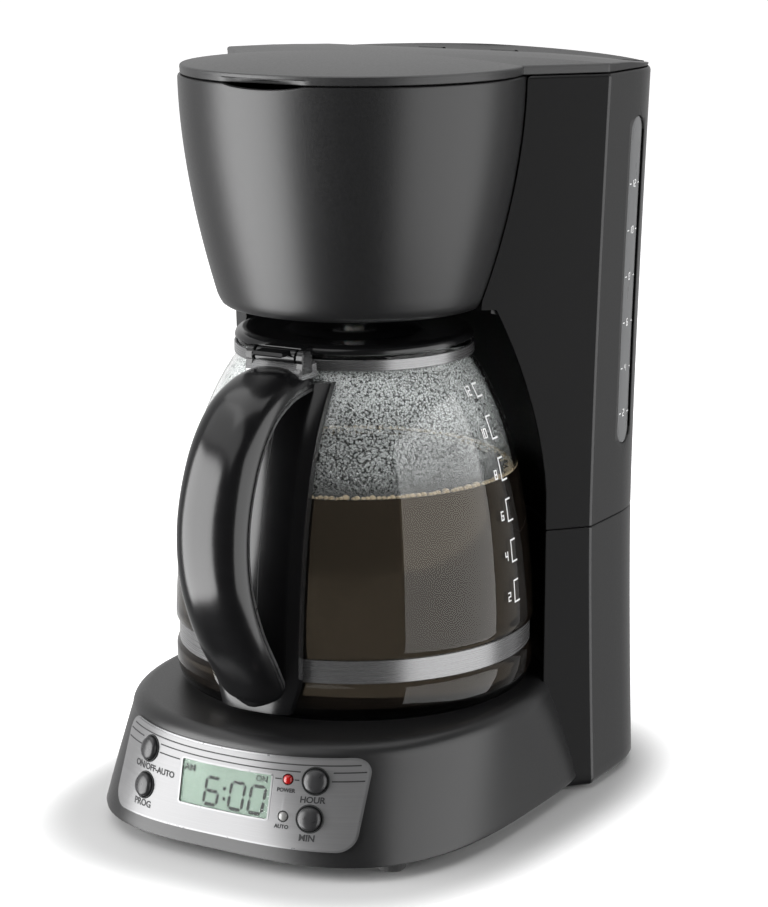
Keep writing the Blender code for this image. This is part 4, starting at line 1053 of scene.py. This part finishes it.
def make_handle():
    """The strip down the glass, the neck bracket and the bowed grip."""
    rings = []
    for z in levels(57.0, 189.0, 44):
        foot = max(0.0, (70.0 - z) / 13.0)
        width = 20.0 - 4.0 * foot
        glass = glass_radius(z) if z > SHOULDER_Z else GLASS_R
        inside = glass + 0.5
        edge = inside + 3.4
        half = math.asin(width / edge)
        ring = [polar(edge, -math.pi / 2 - half, z)]
        for way in levels(-1.0, 1.0, 14):
            radius = inside + 4.6 - 0.9 * abs(way) ** 6
            ring.append(polar(radius, -math.pi / 2 + math.asin((width - 0.9) / radius) * way, z))
        ring.append(polar(edge, -math.pi / 2 + half, z))
        for way in levels(-1.0, 1.0, 14):
            ring.append(polar(inside, -math.pi / 2 - math.asin(width / inside) * way, z))
        rings.append(ring)
    form("handle_strip", rings, GLOSS, "carafe", stands_for=("carafe_handle",))

    bow = ((-54.0, 189.2), (-62.0, 189.0), (-75.0, 186.6), (-89.0, 179.0), (-101.0, 163.5), (-108.4, 141.0),
           (-107.6, 118.0), (-99.4, 96.0), (-87.4, 77.0), (-80.6, 66.0), (-78.8, 60.0))
    centre = smooth_path([(0.0, y, z) for y, z in bow], 9)
    lip = []
    grip = []
    last = len(centre) - 1
    for k, spot in enumerate(centre):
        share = k / last
        ahead = (centre[min(k + 1, last)] - centre[max(k - 1, 0)]).normalized()
        out = ahead.cross(Vector((1.0, 0.0, 0.0)))
        bulge = math.sin(math.pi * min(1.0, share * 1.05)) ** 0.7
        tail = max(0.0, (share - 0.86) / 0.14)
        wide = (14.0 + 1.8 * bulge) * math.sqrt(max(0.04, 1.0 - 0.9 * tail ** 2.4))
        crown = 5.4 + 3.2 * bulge - 1.6 * tail
        ring = []
        for i in range(64):
            angle = 2.0 * math.pi * i / 64
            c = math.cos(angle)
            s = math.sin(angle)
            x = wide * math.copysign(abs(c) ** (0.72 if s > 0 else 0.45), c)
            # the outside is a broad arch and the inside is nearly flat
            r = -2.4 + (crown + 2.4) * abs(s) ** 0.92 if s > 0 else -2.4 - 1.1 * abs(s) ** 0.6
            ring.append(tuple(spot + Vector((x, 0.0, 0.0)) + out * r))
        grip.append(ring)
        if 4 <= k <= last - 2:
            lip.append([tuple(spot + Vector((side * (wide + 0.22), 0.0, 0.0)) + out * r)
                        for side, r in ((-1, -2.9), (-1, -1.7), (1, -1.7), (1, -2.9))])
    form("handle_grip", grip, GLOSS, "carafe", sharp=50.0)
    form("handle_seam", lip, BUTTON, "carafe")
    # a thin parting line down the strip
    line = []
    for z in levels(66.0, 184.0, 40):
        radius = (glass_radius(z) if z > SHOULDER_Z else GLASS_R) + 5.12
        line.append([(x, -math.sqrt((radius - depth) ** 2 - x * x), z) for x, depth in
                     ((1.9, 0.0), (2.2, 0.0), (2.2, 0.3), (1.9, 0.3))])
    form("strip_seam", line, INK_DARK, "carafe", slot="gloss_black_plastic")

    slab("handle_bracket", (-13.4, -12.6, 12.6, 13.4), 0.8, bracket_outline, BAND_STEEL, "carafe")
    for side in (-1, 1):
        stations = [side * x for x in (10.1, 10.5, 13.2, 13.6)]
        slab("handle_ear_%d" % (side + 1), stations, 0.5, ear_outline, GLOSS, "carafe")


def bracket_outline(trim):
    return [(-51.4, 190.6 + trim), (-62.0, 190.6 + trim), (-64.0 + trim, 192.0), (-64.0 + trim, 194.2),
            (-61.6, 197.6 - trim), (-52.2, 197.6 - trim)]


def ear_outline(trim):
    points = []
    for k in range(17):
        angle = math.radians(-30.0 + 240.0 * k / 16)
        y = JUG_HINGE_Y + (3.9 - trim) * math.cos(angle)
        points.append((y, JUG_HINGE_Z + (3.6 - trim) * math.sin(angle)))
    return points + [(-63.4 + trim, 193.5), (-54.6 - trim, 193.5)]


def lug_outline(trim):
    return [(-57.2, 199.9 + trim), (-46.0, 199.9 + trim), (-44.6, 202.6 - trim), (-56.6, 202.8 - trim)]


def tab_outline(trim):
    return [(-57.4, 200.6 + trim), (-67.6 + trim, 200.6 + trim), (-68.0 + trim, 201.2),
            (-67.2, 202.4 - trim), (-57.4, 202.7 - trim)]


def make_carafe_lid():
    under = MOUTH_Z + 0.3
    plug = [(42.4, 194.0), (44.6, 194.0)]
    top = [(44.6, 0.0), (49.4, 0.0), (50.0, 0.4), (50.0, 1.0), (49.6, 2.2), (48.6, 3.2), (46.6, 3.7),
           (44.0, 3.6), (42.8, 3.2), (30.0, 3.0), (28.0, 3.4), (26.6, 4.6), (22.0, 5.3), (12.0, 5.5),
           (7.6, 5.4), (6.6, 4.4), (6.0, 3.0)]
    profile = above(under, [(6.0, 1.6), (42.4, 1.6)]) + plug + above(under, top)
    lathe("carafe_lid_top", profile, GLOSS, "carafe_lid", closed=True, stands_for=("carafe_lid",))
    barrel = [(1.7, -9.4), (3.2, -9.4), (3.4, -9.1), (3.4, 9.1), (3.2, 9.4), (1.7, 9.4)]
    spindle("carafe_lid_barrel", barrel, (0.0, JUG_HINGE_Y, JUG_HINGE_Z), (1, 0, 0), GLOSS, "carafe_lid",
            steps=32, closed=True)
    slab("carafe_lid_lug", (-9.4, -8.9, 8.9, 9.4), 0.5, lug_outline, GLOSS, "carafe_lid")
    slab("carafe_thumb_tab", (-7.0, -6.4, 6.4, 7.0), 0.5, tab_outline, GLOSS, "carafe_lid")


# ---------------------------------------------------------------- control panel
def rounded_rectangle(x0, x1, z0, z1, radius, steps=8):
    points = []
    corners = ((x1 - radius, z1 - radius, 0), (x0 + radius, z1 - radius, 1),
               (x0 + radius, z0 + radius, 2), (x1 - radius, z0 + radius, 3))
    for cx, cz, quarter in corners:
        for k in range(steps + 1):
            angle = (quarter + k / steps) * math.pi / 2
            points.append((cx + radius * math.cos(angle), cz + radius * math.sin(angle)))
    return points


def grown(across, up, spare, radius):
    """A rounded rectangle that is larger than two ranges by spare on every side."""
    return rounded_rectangle(across[0] - spare, across[1] + spare, up[0] - spare, up[1] + spare, radius)


def label(name, text, x, z, size, material, lift=1.66):
    """Plain printed words that follow the panel's face."""
    curve = bpy.data.curves.new(name, "FONT")
    curve.body = text
    curve.size = size * MM
    curve.align_x = "CENTER"
    curve.align_y = "CENTER"
    curve.extrude = 0.00003
    curve.offset = 0.00009
    curve.resolution_u = 4
    flat = bpy.data.objects.new(name + "_flat", curve)
    bpy.context.scene.collection.objects.link(flat)
    graph = bpy.context.evaluated_depsgraph_get()
    mesh = bpy.data.meshes.new_from_object(flat.evaluated_get(graph))
    bpy.data.objects.remove(flat, do_unlink=True)
    for vertex in mesh.vertices:
        along = x + vertex.co.x / MM
        height = z + vertex.co.y / MM
        depth = lift + vertex.co.z / MM
        vertex.co = metres(skirt_point(along, height) + skirt_normal(along, height) * depth)
    mesh.materials.clear()
    mesh.materials.append(material)
    obj = bpy.data.objects.new(name, mesh)
    bpy.context.scene.collection.objects.link(obj)
    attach(obj, "housing")


def strip(x0, z0, x1, z1, thick):
    return [[(x0, z0 - thick / 2), (x1, z1 - thick / 2), (x1, z1 + thick / 2), (x0, z0 + thick / 2)]]


def make_panel():
    face = [grown(PANEL_X, PANEL_Z, 0.0, 6.0), grown(LCD_X, LCD_Z, 0.0, 1.2)]
    for z in (BUTTON_HIGH_Z, BUTTON_LOW_Z):
        for x in (-BUTTON_X, BUTTON_X):
            face.append(skirt_hole(x, z, 5.2))
        face.append(skirt_hole(LED_X, z, 2.3, 20))
    skirt_sheet("panel_face", [face], (0.45, 1.6), STEEL, "housing", stands_for=("control_panel",))

    outer = grown(PANEL_X, PANEL_Z, 0.7, 6.7)
    inner = grown(PANEL_X, PANEL_Z, -0.05, 5.95)
    skirt_sheet("panel_rim", [[outer, inner]], (0.0, 1.35), RIM, "housing")

    outer = grown(LCD_X, LCD_Z, 0.1, 1.3)
    inner = grown(LCD_X, LCD_Z, -0.6, 0.8)
    skirt_sheet("lcd_rim", [[outer, inner]], (0.6, 1.75), RIM, "housing")
    glass = grown(LCD_X, LCD_Z, -0.65, 0.8)
    skirt_sheet("lcd_face", [[glass]], (-0.6, 0.95), LCD, "housing", stands_for=("lcd_module",))
    skirt_sheet("lcd_glass", [[glass]], (1.2, 1.45), LENS, "housing", stands_for=("lcd_window",))

    figures = []
    height = 10.6
    width = 6.2
    slant = math.tan(math.radians(6.0))
    places = ((-8.4, "6"), (3.4, "0"), (12.6, "0"))
    for left, text in places:
        for start, end in digit_strokes(text, width, height, 0.0):
            shape = stroke_shape(start, end, 1.35, 0.3, pointed=True)
            figures.append([[(left + x + y * slant, 23.6 + y) for x, y in shape]])
    for z in (26.8, 30.8):
        figures.append([rounded_rectangle(0.5, 1.9, z - 0.7, z + 0.7, 0.3, 3)])
    skirt_sheet("clock_figures", figures, (0.98, 1.04), INK_DARK, "housing")
    label("label_am", "AM", -16.2, 36.2, 3.9, INK_DARK, 1.02)
    label("label_on", "ON", 17.6, 37.2, 3.3, INK_DARK, 1.02)

    lines = [strip(-53.4, 44.2, 53.4, 44.2, 0.5)]
    for x0, x1 in ((-55.6, -44.6), (-33.0, 33.0), (44.8, 55.6)):
        lines.append(strip(x0, 41.6, x1, 41.6, 0.5))
    for x0, x1 in ((-55.6, -44.6), (-33.0, -21.4), (23.4, 26.0), (31.2, 33.0), (44.8, 55.6)):
        lines.append(strip(x0, 38.4, x1, 38.4, 0.5))
    skirt_sheet("panel_lines", lines, (1.58, 1.64), INK_GREY, "housing")

    for name, text, x, z, size in (
            ("label_on_off", "ON/OFF-AUTO", -35.0, 31.4, 3.4),
            ("label_prog", "PROG", -39.0, 17.2, 3.6),
            ("label_hour", "HOUR", 39.0, 31.2, 3.3),
            ("label_min", "MIN", 39.0, 16.8, 3.5),
            ("label_power", "POWER", 28.3, 34.2, 2.1),
            ("label_auto", "AUTO", 28.3, 20.2, 2.1)):
        label(name, text, x, z, size, INK_GREY)

    for name, x, z in (
            ("button_power", -BUTTON_X, BUTTON_HIGH_Z),
            ("button_program", -BUTTON_X, BUTTON_LOW_Z),
            ("button_hour", BUTTON_X, BUTTON_HIGH_Z),
            ("button_minute", BUTTON_X, BUTTON_LOW_Z)):
        cap = [(0.2, -3.0), (4.8, -3.0), (4.8, 2.2), (4.65, 2.9), (4.2, 3.5), (3.5, 3.85), (2.4, 4.15),
               (1.2, 4.3), (0.2, 4.33)]
        spindle(name + "_cap", cap, skirt_point(x, z), skirt_normal(x, z), BUTTON, name, stands_for=(name,))
        collar = [(5.0, 0.6), (5.7, 0.6), (5.7, 1.62), (5.5, 1.9), (5.2, 1.9), (5.0, 1.7)]
        spindle(name + "_collar", collar, skirt_point(x, z), skirt_normal(x, z), INK_DARK, "housing",
                closed=True, slot="gloss_black_plastic")
    for name, z, look in (("power_led", BUTTON_HIGH_Z, RED), ("auto_led", BUTTON_LOW_Z, CLEAR_LENS)):
        dome = [(1.9, -2.0), (1.9, 1.4), (1.8, 1.9), (1.45, 2.3), (0.9, 2.55), (0.2, 2.66)]
        spindle(name + "_lens", dome, skirt_point(LED_X, z), skirt_normal(LED_X, z), look, "housing",
                stands_for=(name,), slot="red_led" if name == "power_led" else "clear_led")


def make_gauge_marks():
    """Figures and short lines printed on the water gauge."""
    verts = []
    faces = []

    def bar(y0, z0, y1, z1, thick):
        shape = stroke_shape((y0, z0), (y1, z1), thick)
        start = len(verts)
        for depth in (0.46, 0.38):
            verts.extend((wall_x(y, z, depth), y, z) for y, z in shape)
        faces.append((start, start + 1, start + 2, start + 3))
        faces.append((start + 7, start + 6, start + 5, start + 4))
        for k in range(4):
            j = (k + 1) % 4
            faces.append((start + k, start + k + 4, start + j + 4, start + j))

    for cup in range(2, 13, 2):
        z = 161.0 + 19.8 * (cup - 2) / 2
        bar(WINDOW_Y - 5.0, z, WINDOW_Y - 3.2, z, 0.5)
        bar(WINDOW_Y + 3.4, z, WINDOW_Y + 5.0, z, 0.5)
        text = str(cup)
        left = -1.2 * len(text)
        for (x0, y0), (x1, y1) in digit_strokes(text, 1.3, 2.8, 1.0):
            bar(WINDOW_Y + left + x0, z - 1.4 + y0, WINDOW_Y + left + x1 + 0.001, z - 1.4 + y1, 0.5)
    piece("gauge_marks", verts, faces, INK_WHITE, "housing", weighted=False)


# ---------------------------------------------------------------- carried-over CAD nodes
def dress_frame():
    looks = {
        RUBBER: ["foot_front_left", "foot_front_right", "foot_rear_left", "foot_rear_right", "plate_seal",
                 "cord_gland"],
        INNER_PLASTIC_AND_FRONT_SHADE: ["base_cover", "lid_hinge_bracket", "spray_head"],
        ALUMINIUM: ["heat_spreader", "heating_element", "thermostat", "base_screw_front_left",
                    "base_screw_front_right", "base_screw_rear_left", "base_screw_rear_right"],
        BAND_STEEL: ["heater_bracket", "thermal_fuse", "hose_clamp_inlet", "hose_clamp_riser", "valve_spring",
                     "lid_hinge_pin", "carafe_lid_pin", "handle_screw"],
        SILICONE: ["cold_water_hose", "hot_water_tube", "drip_valve"],
        TANK: ["water_tank", "brew_basket", "valve_cage", "check_valve"],
        BOARD: ["control_board"],
    }
    for look, names in looks.items():
        for name in names:
            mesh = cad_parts[name].data
            mesh.materials.clear()
            mesh.materials.append(look)


# ---------------------------------------------------------------- stage, light and camera
VIEW_TURN = math.radians(30.17)
VIEW_DOWN = math.radians(12.84)
CAMERA_SPOT = Vector((563.5, -944.6, 398.5))
FOOTPRINT_X = 0.094         # half the footprint, in metres
FOOTPRINT_Y = 0.119
ROOM_DIM = 0.05
ROOM_BACK = 0.75


def around(turn_from_camera, distance, height):
    """A place round the object, its turn counted from the camera, right positive."""
    angle = -math.pi / 2 + VIEW_TURN + math.radians(turn_from_camera)
    return Vector((distance * math.cos(angle), distance * math.sin(angle), height))


def softbox(name, turn, distance, low, high, width, radiance, target_height=None):
    """An upright panel of light that faces the object, or one tilted to look at a height on it."""
    lamp = bpy.data.lights.new(name, "AREA")
    lamp.shape = "RECTANGLE"
    lamp.size = width
    lamp.size_y = high - low
    lamp.energy = radiance * math.pi * lamp.size * lamp.size_y
    obj = bpy.data.objects.new(name, lamp)
    obj.location = around(turn, distance, (low + high) / 2)
    target = Vector((0.0, 0.0, obj.location.z if target_height is None else target_height))
    obj.rotation_euler = (target - obj.location).to_track_quat("-Z", "Y").to_euler()
    bpy.context.scene.collection.objects.link(obj)


def seen_or_through(owner):
    """One for what the camera sees directly or through glass, and zero for reflections and bounced light."""
    path = add(owner, "ShaderNodeLightPath")
    return combine(owner, "MAXIMUM", path.outputs["Is Camera Ray"], path.outputs["Is Transmission Ray"])


def vector_step(owner, operation, first, second=None):
    """A step of vector arithmetic whose second value is a socket or fixed."""
    step = add(owner, "ShaderNodeVectorMath", operation)
    link(owner, first, step.inputs[0])
    if isinstance(second, tuple):
        step.inputs[1].default_value = second
    elif second is not None:
        link(owner, second, step.inputs[1])
    return step


def make_floor():
    """Pale, with painted grey shade close to the object, and seen by the camera but not by reflections."""
    floor_look = new_material("pale_floor", (0.66, 0.66, 0.66), 0.9, Specular_IOR_Level=0.1,
                              Emission_Color=(1.0, 1.0, 1.0, 1.0))
    nodes = floor_look.node_tree.nodes
    shader = nodes["Principled BSDF"]
    place = add(floor_look, "ShaderNodeTexCoord").outputs["Object"]
    # one at the footprint's edge, which is a rounded box, and more further out
    size = (1.0 / FOOTPRINT_X, 1.0 / FOOTPRINT_Y, 0.0)
    scaled = vector_step(floor_look, "MULTIPLY", place, size).outputs["Vector"]
    near = vector_step(floor_look, "ABSOLUTE", scaled).outputs["Vector"]
    square = vector_step(floor_look, "MULTIPLY", near, near).outputs["Vector"]
    cube = vector_step(floor_look, "MULTIPLY", square, near).outputs["Vector"]
    total = vector_step(floor_look, "DOT_PRODUCT", cube, (1.0, 1.0, 1.0)).outputs["Value"]
    away = add(floor_look, "ShaderNodeMath", "POWER")
    away.inputs[1].default_value = 1.0 / 3.0
    link(floor_look, total, away.inputs[0])
    # no glow near the footprint and more further out: a painted grey shade round the object, added to the
    # lamps' real shadow there
    glow = rescale(floor_look, away.outputs["Value"], 1.03, 1.4, 0.0, 0.9, smooth=True)
    link(floor_look, glow, shader.inputs["Emission Strength"])
    mix = add(floor_look, "ShaderNodeMixShader")
    link(floor_look, seen_or_through(floor_look), mix.inputs["Fac"])
    link(floor_look, add(floor_look, "ShaderNodeBsdfTransparent").outputs["BSDF"], mix.inputs[1])
    link(floor_look, shader.outputs["BSDF"], mix.inputs[2])
    link(floor_look, mix.outputs["Shader"], nodes["Material Output"].inputs["Surface"])
    bm = bmesh.new()
    bmesh.ops.create_circle(bm, cap_ends=True, segments=96, radius=14.0)
    mesh = bpy.data.meshes.new("floor")
    bm.to_mesh(mesh)
    bm.free()
    floor = bpy.data.objects.new("floor", mesh)
    mesh.materials.append(floor_look)
    bpy.context.scene.collection.objects.link(floor)


def make_world():
    """White to the eye; to reflections a dim room that is brighter behind the object."""
    world = bpy.data.worlds.new("studio")
    bpy.context.scene.world = world
    world.use_nodes = True
    back = world.node_tree.nodes["Background"]
    coords = add(world, "ShaderNodeTexCoord").outputs["Generated"]
    behind = tuple(around(180.0, 1.0, 0.15).normalized())
    facing = vector_step(world, "DOT_PRODUCT", coords, behind).outputs["Value"]
    pick = add(world, "ShaderNodeMix")
    link(world, seen_or_through(world), pick.inputs["Factor"])
    link(world, rescale(world, facing, 0.1, 0.95, ROOM_DIM, ROOM_BACK), pick.inputs["A"])
    pick.inputs["B"].default_value = 1.0
    link(world, pick.outputs["Result"], back.inputs["Strength"])
    back.inputs["Color"].default_value = (1.0, 1.0, 1.0, 1.0)


def make_lights():
    softbox("light_left", -72.0, 1.9, -1.5, 1.35, 1.9, 7.2)
    softbox("light_right", 66.0, 1.9, -1.3, 1.3, 2.6, 2.6)
    softbox("light_front_top", -62.0, 1.2, 1.3, 2.4, 3.0, 1.2, target_height=0.1)
    softbox("light_top", 180.0, 0.35, 1.1, 3.1, 2.4, 1.4, target_height=0.1)


def make_camera():
    lens = bpy.data.cameras.new("camera")
    lens.sensor_width = 36.0
    lens.lens = 105.82
    lens.clip_start = 0.05
    lens.clip_end = 50.0
    camera = bpy.data.objects.new("camera", lens)
    camera.location = metres(CAMERA_SPOT)
    camera.rotation_euler = (math.pi / 2 - VIEW_DOWN, 0.0, VIEW_TURN)
    bpy.context.scene.collection.objects.link(camera)
    bpy.context.scene.camera = camera


bpy.context.scene.view_settings.view_transform = "Standard"
dress_frame()
make_base()
make_tower()
make_reservoir()
make_window()
make_gauge_marks()
make_housing()
make_lid()
make_carafe()
make_handle()
make_carafe_lid()
make_panel()
make_floor()
make_world()
make_lights()
make_camera()
